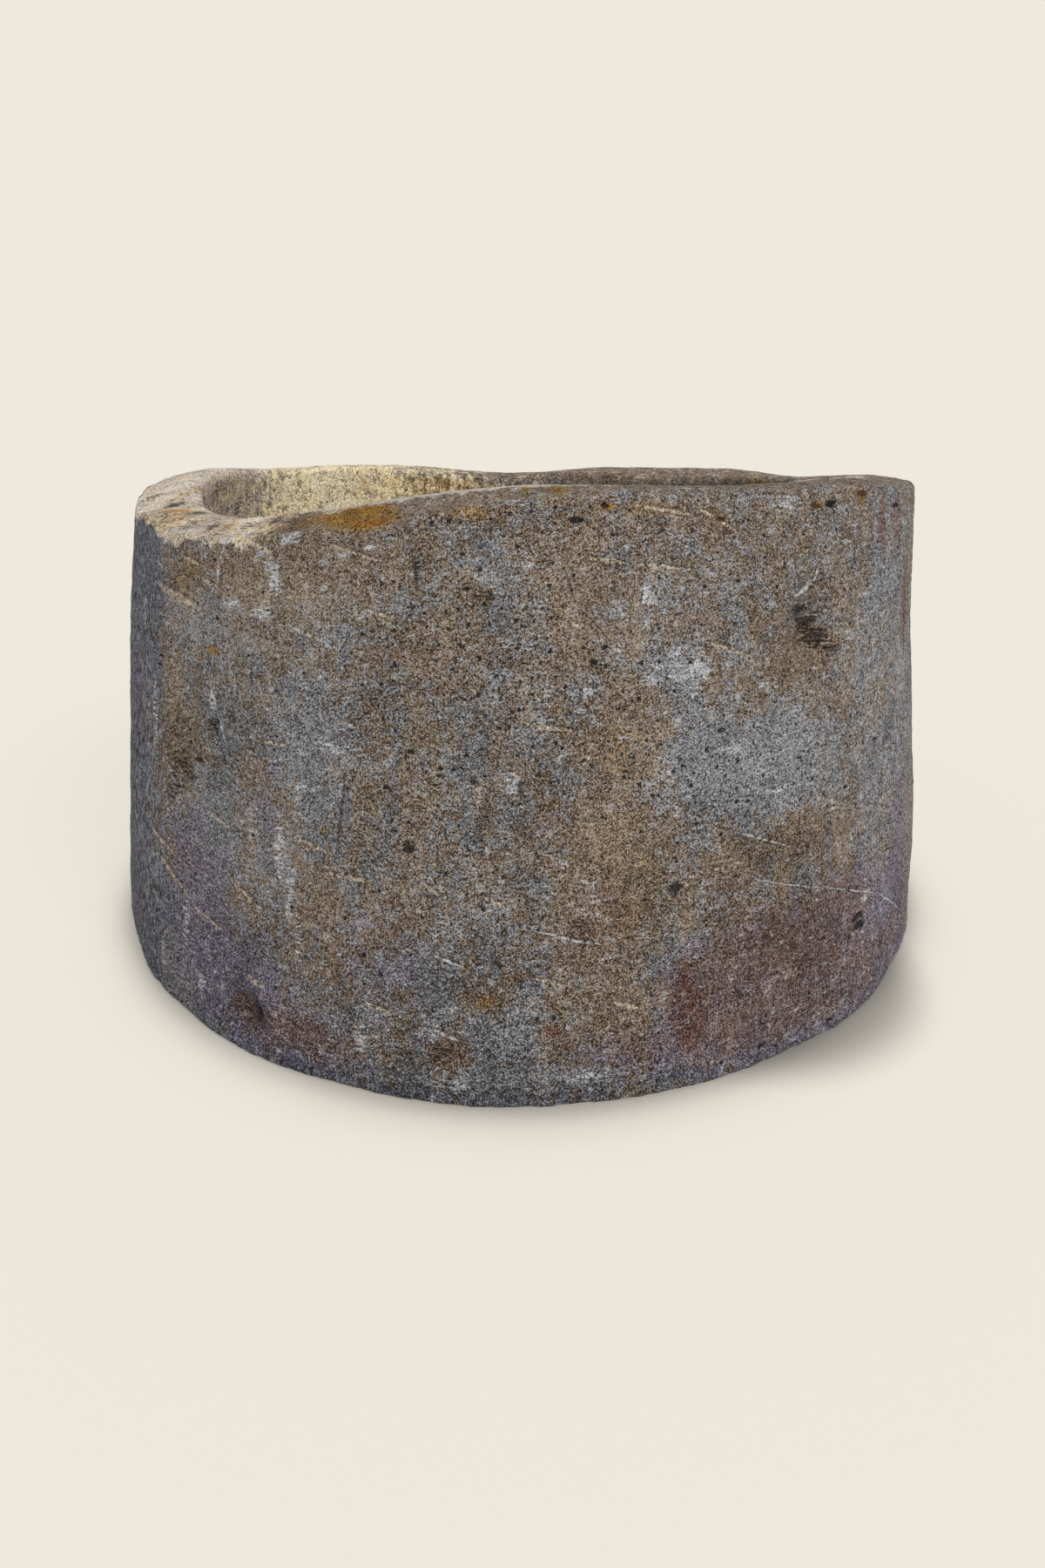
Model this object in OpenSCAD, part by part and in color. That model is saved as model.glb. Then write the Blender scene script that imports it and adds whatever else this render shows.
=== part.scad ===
// Round stone planter: one hollowed block with a worn rim, and the rubber bung of its drain.
// Millimetres. The front is -Y and up is +Z. The origin is the middle of the foot.
// Angles on the block are degrees round from the front, towards the left as the front is seen.

/* [Block] */
// Outer diameter at half height
outer_d = 604; // [520:1:700]
// Height of the rim where it isn't worn
rim_h = 310; // [250:1:380]
// How far the wall draws in from half height down to the foot
foot_draw = 0.5; // [0:0.5:6]
// Rounding under the edge of the foot
foot_round = 2; // [2:0.5:12]
// Rounding of the rim's outer edge
rim_round_out = 5; // [3:0.5:10]
// Rounding of the rim's inner edge
rim_round_in = 6; // [3:0.5:10]
// How far the top of the rim stands up between its edges
rim_crown = 1.5; // [0:0.5:4]
// Depth of the hand dressing on the outer wall
dressing = 1; // [0:0.1:2]

/* [Bowl] */
// Thickness of the wall at the rim
rim_wall = 46; // [34:1:60]
// Stone left under the bowl
floor_t = 65; // [50:1:90]
// Diameter of the flat pad round the drain
pad_d = 110; // [90:1:160]
// How square the bowl's section is: 2 is an ellipse, and more is squarer
bowl_square = 3.4; // [2.4:0.1:5]

/* [Worn side] */
// Middle of the worn length of the rim
worn_at = 42; // [20:1:70]
// Half of the worn length along the outer edge, as an angle
worn_half = 60; // [40:1:80]
// Deepest wear of the outer edge
worn_out = 31; // [0:1:45]
// Deepest wear of the inner edge
worn_in = 24; // [0:1:35]

/* [Drain] */
// Diameter of the drain hole
drain_d = 32; // [20:1:36]
// Diameter of the rebate that the bung fills
seat_d = 50; // [44:1:60]
// Depth of that rebate
seat_depth = 22; // [14:1:30]

/* [Bung] */
// Clearance between the bung and the stone
bung_gap = 0.3; // [0.2:0.05:0.6]
// Diameter of the bung's lid
lid_d = 64; // [62:1:80]
// Thickness of the lid
lid_t = 6; // [4:0.5:9]
// How far the plug reaches into the rebate
plug_depth = 20; // [10:0.5:21]
// How much narrower the plug is at its lower end, on its diameter
plug_taper = 1.6; // [0.6:0.2:3]
// Diameter of the grip's neck
neck_d = 15; // [10:0.5:18]
// Height of the neck
neck_h = 9; // [7:0.5:14]
// Diameter of the grip's knob
knob_d = 27; // [22:0.5:32]
// Height of the knob
knob_h = 11; // [8:0.5:14]

/* [Hidden] */
$fn = 96;

// Columns round the block, and rows on each stretch of its section
columns = 100;
foot_rows = 3;
wall_rows = 15;
edge_rows = 3;
rim_rows = 4;
bowl_rows = 12;

// Smaller dips of the rim: [middle, half length as an angle, depth]
OUTER_DIPS = [[178, 24, 7], [140, 26, -3], [-112, 20, 8], [-62, 26, 4], [-24, 22, 2]];
INNER_DIPS = [[-140, 40, 8], [-108, 22, 5], [176, 26, 9], [138, 24, -2], [-24, 26, 3], [90, 30, -3]];

// Hollows left in the outer wall: [angle, height, half width, half height, depth]
HOLLOWS = [
  [-33, 229, 26, 32, 9],
  [31, 20, 24, 20, 8],
  [42, 140, 20, 28, 5],
  [132, 205, 34, 26, 8],
  [-118, 96, 30, 34, 7],
];

// Waves of the dressing: [waves round the block, start, turn for each mm of height, share]
WAVES = [[5, 40, 0.9, 0.9], [9, 110, -1.3, 0.6], [16, 0, 2.1, 0.5]];

// The outer wall swells or draws in over these stretches:
// [middle, half length as an angle, height of its middle, half height, depth outwards]
SWELLS = [
  [-75, 70, 310, 120, 3.5],
  [80, 60, 300, 110, -1],
  [-60, 30, 0, 90, -3],
  [5, 62, 0, 110, 2.4],
  [47, 9, 160, 220, 2.5],
];

mid_r = outer_d / 2;
pad_r = pad_d / 2;
// Height that the places above were measured on
drawn_h = 310;
up = rim_h / drawn_h;

// Angle folded to the half turn either side of the front
function folded(a) = a - 360 * round(a / 360);

// 1 in the middle of a stretch, falling smoothly to 0 at its ends
function swell(t) = abs(t) < 1 ? pow(cos(90 * t), 2) : 0;

function total(list, i = 0) = i < len(list) ? list[i] + total(list, i + 1) : 0;

function dips(a, table) = total([for (d = table) d[2] * swell(folded(a - d[0]) / d[1])]);

// Height of the rim's two edges
function outer_edge(a) =
  rim_h - worn_out * swell(folded(a - worn_at) / worn_half) - dips(a, OUTER_DIPS);
function inner_edge(a) =
  rim_h - worn_in * swell(folded(a - worn_at - 4) / (worn_half - 8)) - dips(a, INNER_DIPS);

function waves(a, z) = total([for (w = WAVES) w[3] * sin(w[0] * a + w[1] + w[2] * z)]);

function swells(a, z) = total([
  for (s = SWELLS)
    s[4] * swell(folded(a - s[0]) / s[1]) * swell((z - s[2] * up) / (s[3] * up))
]);

function hollows(a, z) = total([
  for (h = HOLLOWS)
    h[4] * swell(folded(a - h[0]) * PI / 180 * mid_r / h[2]) * swell((z - h[1] * up) / h[3])
]);

// Radius of the outer wall
function wall_r(a, z) =
  mid_r - foot_draw * pow(1 - min(1, 2 * z / rim_h), 2)
  + swells(a, z) + dressing * waves(a, z) - hollows(a, z);

// Radius of the bowl's mouth, which wanders a little
function mouth_r(a) = mid_r - rim_wall + 1.5 * sin(3 * a + 70) + sin(5 * a - 20);

// One section of the block, from the foot out, up, over the rim and down the bowl: [radius, height]
function foot_section(a) = [
  for (i = [0:foot_rows - 1])
    let (t = 90 * i / (foot_rows - 1))
      [wall_r(a, foot_round) - foot_round * (1 - sin(t)), foot_round * (1 - cos(t))]
];

function wall_section(a) =
  let (top = outer_edge(a) - rim_round_out) [
    for (i = [1:wall_rows])
      let (z = foot_round + (top - foot_round) * i / wall_rows)
        [wall_r(a, z), z]
  ];

function outer_round(a) =
  let (top = outer_edge(a) - rim_round_out, r = wall_r(a, top) - rim_round_out) [
    for (i = [1:edge_rows])
      let (t = 90 * i / edge_rows)
        [r + rim_round_out * cos(t), top + rim_round_out * sin(t)]
  ];

function rim_section(a) =
  let (
    r_out = wall_r(a, outer_edge(a) - rim_round_out) - rim_round_out,
    r_in = mouth_r(a) + rim_round_in
  ) [
    for (i = [1:rim_rows])
      let (t = i / rim_rows, ease = t * t * (3 - 2 * t))
        [
          r_out + (r_in - r_out) * t,
          outer_edge(a) + (inner_edge(a) - outer_edge(a)) * ease + rim_crown * 4 * t * (1 - t)
        ]
  ];

function inner_round(a) = [
  for (i = [1:edge_rows])
    let (t = 90 * i / edge_rows)
      [
        mouth_r(a) + rim_round_in * (1 - sin(t)),
        inner_edge(a) - rim_round_in * (1 - cos(t))
      ]
];

function bowl_section(a) =
  let (top = inner_edge(a) - rim_round_in, bend = 2 / bowl_square) [
    for (i = [1:bowl_rows])
      let (t = 90 * i / bowl_rows)
        [
          pad_r + (mouth_r(a) - pad_r) * pow(max(0, cos(t)), bend),
          floor_t + (top - floor_t) * (1 - pow(sin(t), bend))
        ]
  ];

function section(a) = concat(
  foot_section(a),
  wall_section(a),
  outer_round(a),
  rim_section(a),
  inner_round(a),
  bowl_section(a)
);

function spot(a, rz) = [-rz[0] * sin(a), -rz[0] * cos(a), rz[1]];

module block() {
  sections = [for (i = [0:columns - 1]) section(360 * i / columns)];
  rows = len(sections[0]);
  skin = [for (i = [0:columns - 1]) for (p = sections[i]) spot(360 * i / columns, p)];
  xs = [for (p = skin) p[0]];
  ys = [for (p = skin) p[1]];
  // The block's box is centred on the drain
  off = [(max(xs) + min(xs)) / 2, (max(ys) + min(ys)) / 2, 0];
  points = concat([for (p = skin) p - off], [[0, 0, 0], [0, 0, floor_t]]);
  foot_pole = columns * rows;
  sides = [
    for (i = [0:columns - 1])
      for (j = [0:rows - 2])
        let (
          a = i * rows + j,
          b = a + 1,
          d = (i + 1) % columns * rows + j,
          c = d + 1
        )
          each [[c, b, a], [c, a, d]]
  ];
  foot = [
    for (i = [0:columns - 1])
      [foot_pole, (i + 1) % columns * rows, i * rows]
  ];
  pad = [
    for (i = [0:columns - 1])
      [foot_pole + 1, i * rows + rows - 1, (i + 1) % columns * rows + rows - 1]
  ];
  polyhedron(points, concat(sides, foot, pad), convexity = 8);
}

// The hollowed block, with the drain drilled through its floor and the bung's rebate over it
module stone_vessel() {
  past = 5;
  color("#6d665e")
    difference() {
      block();
      translate([0, 0, -past])
        cylinder(d = drain_d, h = floor_t + 2 * past);
      translate([0, 0, floor_t - seat_depth])
        cylinder(d = seat_d, h = seat_depth + past);
    }
}

// Points of an arc in the bung's section, from one angle to another
function arc(x, y, r, from, to, steps = 6) = [
  for (i = [0:steps])
    let (t = from + (to - from) * i / steps)
      [x + r * cos(t), y + r * sin(t)]
];

// The stopper: a tapered plug in the rebate, a lid on the pad, and a knob to pull it by
module drain_bung() {
  lid_z = floor_t + bung_gap;
  plug_r = seat_d / 2 - bung_gap;
  plug_end_r = plug_r - plug_taper / 2;
  plug_z = floor_t - plug_depth;
  lid_top = lid_z + lid_t;
  knob_z = lid_top + neck_h;
  edge = 1.5;
  fillet = 3;
  lip = 2.5;
  color("#2d2b2a")
    rotate_extrude()
      polygon(concat(
        [[0, plug_z]],
        arc(plug_end_r - edge, plug_z + edge, edge, -90, 0),
        [[plug_r, lid_z], [lid_d / 2 - edge, lid_z]],
        arc(lid_d / 2 - edge, lid_top - edge, edge, 0, 90),
        arc(neck_d / 2 + fillet, lid_top + fillet, fillet, 270, 180),
        arc(knob_d / 2 - lip, knob_z + lip, lip, -90, 0),
        arc(knob_d / 2 - 2 * lip, knob_z + knob_h - 2 * lip, 2 * lip, 0, 90),
        [[0, knob_z + knob_h]]
      ));
}

stone_vessel();
drain_bung();
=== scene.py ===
"""Looks of the stone planter: the weathered block, and the rubber bung in its drain.

Sizes are in millimetres until a mesh is finished, and Blender's metres from then on.
Angles on the block are degrees round from the front, towards the left as the front is seen.
"""

import math
import random

import bmesh
import bpy
import numpy as np
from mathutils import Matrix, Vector, noise


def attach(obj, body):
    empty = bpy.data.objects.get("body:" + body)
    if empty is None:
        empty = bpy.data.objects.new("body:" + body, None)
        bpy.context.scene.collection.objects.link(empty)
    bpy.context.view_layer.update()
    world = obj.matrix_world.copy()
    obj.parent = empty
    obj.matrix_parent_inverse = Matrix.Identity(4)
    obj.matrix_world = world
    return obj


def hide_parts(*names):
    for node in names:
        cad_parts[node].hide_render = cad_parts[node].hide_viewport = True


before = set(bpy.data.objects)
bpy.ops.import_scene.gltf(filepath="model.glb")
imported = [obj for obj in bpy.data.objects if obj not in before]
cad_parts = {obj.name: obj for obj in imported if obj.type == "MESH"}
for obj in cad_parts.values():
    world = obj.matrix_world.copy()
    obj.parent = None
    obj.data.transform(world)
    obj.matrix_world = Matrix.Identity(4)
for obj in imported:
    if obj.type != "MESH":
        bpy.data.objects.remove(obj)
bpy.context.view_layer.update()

MM = 0.001

# The block, as the part's source has it
RIM_H = 310.0
WALL_R = 302.0
FOOT_DRAW = 0.5
FOOT_ROUND = 2.0
ROUND_OUT = 5.0
ROUND_IN = 6.0
RIM_CROWN = 1.5
DRESSING = 1.0
RIM_WALL = 46.0
FLOOR_T = 65.0
PAD_R = 55.0
BOWL_SQUARE = 3.4
WORN_AT = 42.0
WORN_HALF = 60.0
WORN_OUT = 31.0
WORN_IN = 24.0
DRAIN_R = 16.0
SEAT_R = 25.0
SEAT_DEPTH = 22.0
OUTER_DIPS = [
    [178, 24, 7], [140, 26, -3], [-112, 20, 8], [-62, 26, 4], [-24, 22, 2],
]
INNER_DIPS = [
    [-140, 40, 8], [-108, 22, 5], [176, 26, 9], [138, 24, -2], [-24, 26, 3], [90, 30, -3],
]
HOLLOWS = [
    [-33, 229, 26, 32, 9], [31, 20, 24, 20, 8], [42, 140, 20, 28, 5], [132, 205, 34, 26, 8],
    [-118, 96, 30, 34, 7],
]
WAVES = [[5, 40, 0.9, 0.9], [9, 110, -1.3, 0.6], [16, 0, 2.1, 0.5]]
SWELLS = [
    [-75, 70, 310, 120, 3.5], [80, 60, 300, 110, -1], [-60, 30, 0, 90, -3], [5, 62, 0, 110, 2.4],
    [47, 9, 160, 220, 2.5],
]

# Where the worn edge stands a little higher than in the source
EDGE_LIFTS = [[53, 10, 6], [40, 10, 2.5]]

# Where the whole rim stands a little lower than in the source
RIM_DROPS = [[-90, 26, 3]]

# The photograph's camera: level, on the front axis, and this far back and up.
# Its frame is 1200 by 1800 pixels.
CAMERA_BACK = 738.0
EYE = 327.0
FOCAL_PX = 1000.0
AXIS_PX = 600.0
HORIZON_PX = 520.0
FRAME_H_PX = 1800.0
SENSOR = 36.0

# The photograph's background, as linear light
BACKGROUND = (0.863, 0.815, 0.723)

# The stone's mesh: columns round the block, and rows on each stretch of its section
COLUMNS = 560
WALL_ROWS = 100
EDGE_ROWS = 4
RIM_ROWS = 14
# Rows of the bowl near its mouth and how far apart they are, and the rows below them
NEAR_ROWS = 16
NEAR_STEP = 4.5
LOW_ROWS = 20
# The columns stand closer over the front: by how much, how far round to each side, and the fade
FRONT_EXTRA = 0.95
FRONT_HALF = 76.0
FRONT_FADE = 6.0
# The stretches that show from outside
OUTSIDE = ["foot", "wall", "outer edge"]

# Smaller sizes of the looks alone: the rounded lip of the drain, the edges of the rebate, the
# lift of the stone's underside off the floor, and the radius where the flat pad starts to settle
DRAIN_LIP = 1.2
SEAT_EDGE = 0.8
UNDERSIDE_LIFT = 1.5
PAD_STEP_R = 40.0

# How far round to each side of the front the photograph shows the outer wall, in degrees
SEEN_HALF = 62.0

# The groove under a chisel mark
GROOVE_DEPTH = 0.45
GROOVE_HALF_W = 3.2


def swell(t):
    """1 in the middle of a stretch, falling smoothly to 0 at its ends, where t is -1 and 1."""
    return np.where(np.abs(t) < 1, np.cos(np.pi / 2 * np.clip(t, -1, 1)) ** 2, 0.0)


def folded(a):
    """An angle folded to the half turn either side of the front."""
    return a - 360 * np.round(a / 360)


def rise(t, low, high):
    """0 below low and 1 above high, with a smooth rise between."""
    share = np.clip((t - low) / (high - low), 0, 1)
    return share * share * (3 - 2 * share)


def sin_deg(a):
    return np.sin(np.radians(a))


def cos_deg(a):
    return np.cos(np.radians(a))


# The block's section


def dips(a, table):
    return sum(depth * swell(folded(a - at) / half) for at, half, depth in table)


def outer_edge(a):
    worn = WORN_OUT * swell(folded(a - WORN_AT) / WORN_HALF)
    return RIM_H - worn - dips(a, OUTER_DIPS) - dips(a, RIM_DROPS) + dips(a, EDGE_LIFTS)


def inner_edge(a):
    worn = WORN_IN * swell(folded(a - WORN_AT - 4) / (WORN_HALF - 8))
    return RIM_H - worn - dips(a, INNER_DIPS) - dips(a, RIM_DROPS)


def wall_r(a, z):
    """Radius of the outer wall at angle a and height z."""
    r = WALL_R - FOOT_DRAW * (1 - np.minimum(1, 2 * z / RIM_H)) ** 2
    for at, half, middle, half_h, out in SWELLS:
        r = r + out * swell(folded(a - at) / half) * swell((z - middle) / half_h)
    for count, start, turn, share in WAVES:
        r = r + DRESSING * share * sin_deg(count * a + start + turn * z)
    for at, middle, half_w, half_h, depth in HOLLOWS:
        across = np.radians(folded(a - at)) * WALL_R / half_w
        r = r - depth * swell(across) * swell((z - middle) / half_h)
    return r


def mouth_r(a):
    return WALL_R - RIM_WALL + 1.5 * sin_deg(3 * a + 70) + sin_deg(5 * a - 20)


def rim_top(a, t):
    """Height of the rim's top at angle a and share t of the way in from its outer edge."""
    ease = t * t * (3 - 2 * t)
    return outer_edge(a) + (inner_edge(a) - outer_edge(a)) * ease + RIM_CROWN * 4 * t * (1 - t)


def bowl_steps():
    """Angles along the bowl's curve, close together near its mouth, where the photograph looks."""
    t = np.linspace(0, 1, 4000) ** 3 * 90
    bend = 2 / BOWL_SQUARE
    r = PAD_R + (WALL_R - RIM_WALL - PAD_R) * np.maximum(0, cos_deg(t)) ** bend
    z = FLOOR_T + (RIM_H - FLOOR_T) * (1 - sin_deg(t) ** bend)
    along = np.concatenate([[0], np.cumsum(np.hypot(np.diff(r), np.diff(z)))])
    near_mouth = np.arange(1, NEAR_ROWS + 1) * NEAR_STEP
    below = np.linspace(near_mouth[-1], along[-1], LOW_ROWS + 1)[1:]
    return np.interp(np.concatenate([near_mouth, below]), along, t)


def block_section(a):
    """The block's closed section at the angles a: rows of (stretch, radius, height, shift).

    It runs from the drain's lower edge out under the foot, up the wall, over the rim, down the
    bowl and back down the drain. shift is how far a row follows the block's plan, not the drain.
    """
    one = np.ones_like(a)
    rows = []

    def add(stretch, r, z, shift=1):
        rows.append((stretch, r * one, z * one, shift))

    add("drain", DRAIN_R, DRAIN_LIP, 0)
    foot_r = wall_r(a, FOOT_ROUND) - FOOT_ROUND
    lip_r = DRAIN_R + DRAIN_LIP
    for share in (0, 0.25, 0.5, 0.75, 0.93):
        add("underside", lip_r + (foot_r - lip_r) * share, UNDERSIDE_LIFT * (1 - share**2), share)
    for t in (0, 45, 90):
        add("foot", foot_r + FOOT_ROUND * sin_deg(t), FOOT_ROUND * (1 - cos_deg(t)))
    top = outer_edge(a) - ROUND_OUT
    for i in range(1, WALL_ROWS + 1):
        z = FOOT_ROUND + (top - FOOT_ROUND) * i / WALL_ROWS
        add("wall", wall_r(a, z), z)
    r_out = wall_r(a, top) - ROUND_OUT
    for i in range(1, EDGE_ROWS + 1):
        t = 90 * i / EDGE_ROWS
        add("outer edge", r_out + ROUND_OUT * cos_deg(t), top + ROUND_OUT * sin_deg(t))
    r_in = mouth_r(a) + ROUND_IN
    for i in range(1, RIM_ROWS + 1):
        t = i / RIM_ROWS
        add("rim", r_out + (r_in - r_out) * t, rim_top(a, t))
    for i in range(1, EDGE_ROWS + 1):
        t = 90 * i / EDGE_ROWS
        z = inner_edge(a) - ROUND_IN * (1 - cos_deg(t))
        add("inner edge", mouth_r(a) + ROUND_IN * (1 - sin_deg(t)), z)
    under_lip = inner_edge(a) - ROUND_IN
    bend = 2 / BOWL_SQUARE
    for t in bowl_steps():
        r = PAD_R + (mouth_r(a) - PAD_R) * max(0, cos_deg(t)) ** bend
        add("bowl", r, FLOOR_T + (under_lip - FLOOR_T) * (1 - sin_deg(t) ** bend))
    add("pad", PAD_STEP_R, FLOOR_T, 0.5)
    seat_z = FLOOR_T - SEAT_DEPTH
    for r, z in [
        (SEAT_R + SEAT_EDGE, FLOOR_T),
        (SEAT_R, FLOOR_T - SEAT_EDGE),
        (SEAT_R, seat_z + SEAT_DEPTH / 2),
        (SEAT_R, seat_z),
        (DRAIN_R + SEAT_EDGE, seat_z),
        (DRAIN_R, seat_z - SEAT_EDGE),
        (DRAIN_R, seat_z / 2),
    ]:
        add("drain", r, z, 0)
    return rows


# Places taken from the photograph


def on_wall(x, y):
    """The place on the outer wall seen at pixel x, y of the photograph.

    Gives the distance round from the front towards the left, the height, and the millimetres of
    wall that one pixel covers along each.
    """

    def distance_round(x):
        k = (x - AXIS_PX) / FOCAL_PX
        under = CAMERA_BACK**2 - (1 + k * k) * (CAMERA_BACK**2 - WALL_R**2)
        depth = (CAMERA_BACK - math.sqrt(max(under, 0))) / (1 + k * k)
        return WALL_R * math.atan2(-k * depth, CAMERA_BACK - depth), depth

    s, depth = distance_round(x)
    inward = 1 if x < AXIS_PX else -1
    per_x = abs(distance_round(x + inward)[0] - s)
    return s, EYE - (y - HORIZON_PX) / FOCAL_PX * depth, per_x, depth / FOCAL_PX


def patch_on_wall(x, y, half_x, half_y):
    s, z, per_x, per_y = on_wall(x, y)
    return s, z, half_x * per_x, half_y * per_y


def rim_height(turn, r):
    """Height of the rim's top at angle turn and radius r, or None beside it."""
    r_out = wall_r(turn, outer_edge(turn) - ROUND_OUT) - ROUND_OUT
    r_in = mouth_r(turn) + ROUND_IN
    t = (r_out - r) / (r_out - r_in)
    return rim_top(turn, t) if 0 <= t <= 1 else None


def patch_on_rim(x, y, half_x, half_y):
    """The place in plan of a patch on the rim's top, seen at pixel x, y, and its size there."""
    step = 0.5
    for depth in np.arange(CAMERA_BACK - WALL_R, CAMERA_BACK + WALL_R, step):
        across, back = (x - AXIS_PX) / FOCAL_PX * depth, depth - CAMERA_BACK
        height = rim_height(math.degrees(math.atan2(-across, -back)), math.hypot(across, back))
        if height is not None and EYE - (y - HORIZON_PX) / FOCAL_PX * depth <= height:
            break
    return across, back, half_x * depth / FOCAL_PX, half_y * depth / (y - HORIZON_PX)


# Stains on the front, and some painted shade and light, in pixels of the photograph:
# [x, y, half width, half height, strength]
BROWN_STAINS = [
    [330, 630, 190, 90, 0.55], [660, 640, 120, 120, 0.3], [850, 600, 190, 50, 0.18],
    [480, 690, 60, 110, 0.15], [500, 760, 60, 60, 0.15], [650, 740, 60, 80, 0.25],
    [730, 800, 60, 40, 0.3], [680, 850, 60, 60, 0.3], [690, 990, 110, 170, 0.55],
    [920, 752, 62, 52, 0.7], [880, 690, 50, 60, 0.25], [950, 675, 34, 18, 0.4], [965, 568, 90, 16, 0.4],
    [920, 965, 110, 46, 0.42], [840, 990, 60, 40, 0.35], [900, 1100, 150, 130, 0.15],
    [710, 1150, 80, 60, 0.35], [355, 860, 80, 120, -0.65], [360, 790, 50, 30, -0.25],
    [250, 830, 40, 60, -0.35], [240, 950, 60, 110, -0.45], [310, 1010, 36, 100, -0.3],
    [880, 875, 150, 95, -0.95], [240, 1100, 120, 120, -0.55], [245, 720, 60, 70, -0.3],
    [1036, 820, 40, 330, -0.28], [470, 1120, 160, 90, -0.2], [770, 770, 60, 44, -0.45],
    [795, 860, 44, 80, -0.4], [850, 740, 26, 60, -0.3], [570, 650, 44, 80, -0.35],
    [585, 930, 26, 80, -0.35], [605, 850, 26, 40, -0.25], [625, 1015, 44, 18, -0.35],
    [420, 980, 26, 60, -0.3], [550, 1060, 60, 40, -0.2], [1014, 690, 50, 140, -0.25],
    [1010, 880, 30, 140, -0.25], [1020, 1030, 30, 50, -0.3], [800, 1085, 40, 26, -0.35],
    [590, 1190, 70, 60, -0.5], [425, 1165, 30, 50, -0.4], [512, 1150, 22, 40, -0.35],
    [205, 830, 18, 100, 0.4], [245, 745, 20, 16, 0.3], [370, 1020, 30, 60, 0.25],
    [270, 1030, 26, 26, 0.3], [275, 1160, 34, 36, 0.6], [350, 1185, 70, 30, 0.3],
    [380, 1110, 26, 50, 0.2], [470, 1060, 50, 60, 0.2], [430, 910, 36, 40, 0.25],
    [500, 940, 50, 60, 0.2], [470, 1150, 40, 50, 0.2], [520, 1205, 50, 24, 0.5],
    [560, 1148, 44, 16, 0.45], [636, 1180, 20, 14, 0.6], [552, 684, 34, 16, 0.6],
    [585, 790, 30, 20, 0.25], [600, 1240, 330, 26, -0.4],
]
OCHRE_STAINS = [
    [250, 690, 130, 90, 0.2], [394, 590, 80, 28, 0.9], [362, 592, 50, 20, 0.5], [395, 594, 60, 26, 0.5],
    [325, 602, 40, 12, 0.5], [438, 600, 60, 24, 0.3], [300, 622, 90, 26, 0.1], [540, 590, 90, 22, 0.5],
    [606, 562, 14, 8, 1], [646, 563, 18, 9, 1], [760, 584, 120, 18, 0.45], [831, 597, 12, 12, 0.7],
    [938, 581, 9, 7, 1], [986, 572, 8, 18, 0.9], [700, 582, 12, 10, 0.9], [215, 655, 40, 50, 0.35],
    [247, 748, 12, 9, 0.9], [372, 954, 14, 8, 0.8], [560, 1150, 22, 18, 0.6], [275, 1165, 26, 30, 0.15],
    [640, 700, 26, 60, 0.25], [720, 860, 70, 60, 0.3], [690, 950, 90, 110, 0.2],
    [742, 1010, 70, 150, 0.2], [700, 1065, 90, 70, 0.2],
]
PLUM_STAINS = [
    [900, 1110, 180, 130, 1], [760, 1205, 160, 50, 0.6], [250, 1110, 110, 110, 0.9],
    [340, 1190, 130, 60, 0.8], [430, 1110, 120, 100, 0.4], [196, 690, 20, 120, 0.3],
    [300, 930, 60, 130, 0.35], [220, 980, 60, 110, 0.6], [990, 1060, 60, 120, 0.7],
    [1030, 1080, 44, 150, 0.9], [940, 1195, 170, 80, 0.8], [690, 1060, 90, 120, 0.35],
    [520, 1200, 60, 40, 0.4], [1036, 950, 20, 200, 0.4],
]
RUST_STAINS = [
    [400, 595, 75, 16, 0.6], [405, 590, 60, 16, 0.9], [1040, 690, 6, 80, 1.2], [1027, 605, 7, 60, 1.2],
    [1010, 600, 7, 60, 1], [1031, 790, 3, 40, 0.5], [986, 640, 8, 30, 0.5], [791, 1157, 32, 74, 1.1],
    [636, 1180, 22, 14, 0.6], [203, 735, 6, 12, 0.9], [176, 932, 5, 18, 0.8], [376, 668, 10, 7, 0.8],
    [985, 600, 4, 40, 0.5], [860, 1190, 70, 40, 0.25],
]
# The first two are the left of the front, darkened partly with painted shade
SLATE_STAINS_AND_SHADE = [
    [165, 800, 32, 280, 1], [175, 1010, 40, 110, 0.9], [420, 1252, 110, 16, 0.9],
    [560, 1262, 200, 12, 0.9], [800, 1232, 60, 10, 0.6], [330, 1220, 80, 22, 0.8],
    [250, 1170, 60, 60, 0.5], [398, 925, 12, 60, 0.5], [600, 906, 8, 22, 0.7], [475, 900, 14, 40, 0.3],
    [777, 1020, 9, 9, 1], [471, 974, 8, 8, 1],
]
# Dark stains, and painted shadow in hollows: the first four are the shadows in the gouge
DARK_STAINS_AND_SHADOWS = [
    [924, 701, 22, 13, 1.1], [936, 717, 20, 15, 1.2], [949, 733, 17, 15, 1], [958, 745, 13, 8, 0.9],
    [938, 730, 26, 34, 0.3], [958, 656, 7, 4, 0.6], [936, 676, 6, 5, 0.6], [210, 880, 20, 34, 0.4],
    [200, 905, 8, 22, 0.6], [245, 834, 12, 20, 0.5], [267, 825, 7, 18, 0.6], [272, 1160, 20, 24, 0.3],
    [296, 1168, 12, 26, 0.7], [540, 676, 22, 6, 0.7], [556, 688, 24, 16, 0.35], [663, 597, 12, 6, 0.7],
    [953, 578, 9, 9, 1], [777, 1020, 12, 12, 1.3], [471, 974, 11, 11, 1.2], [471, 974, 6, 6, 0.7],
    [508, 1208, 26, 18, 0.35], [480, 655, 5, 26, 0.6],
]
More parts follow.
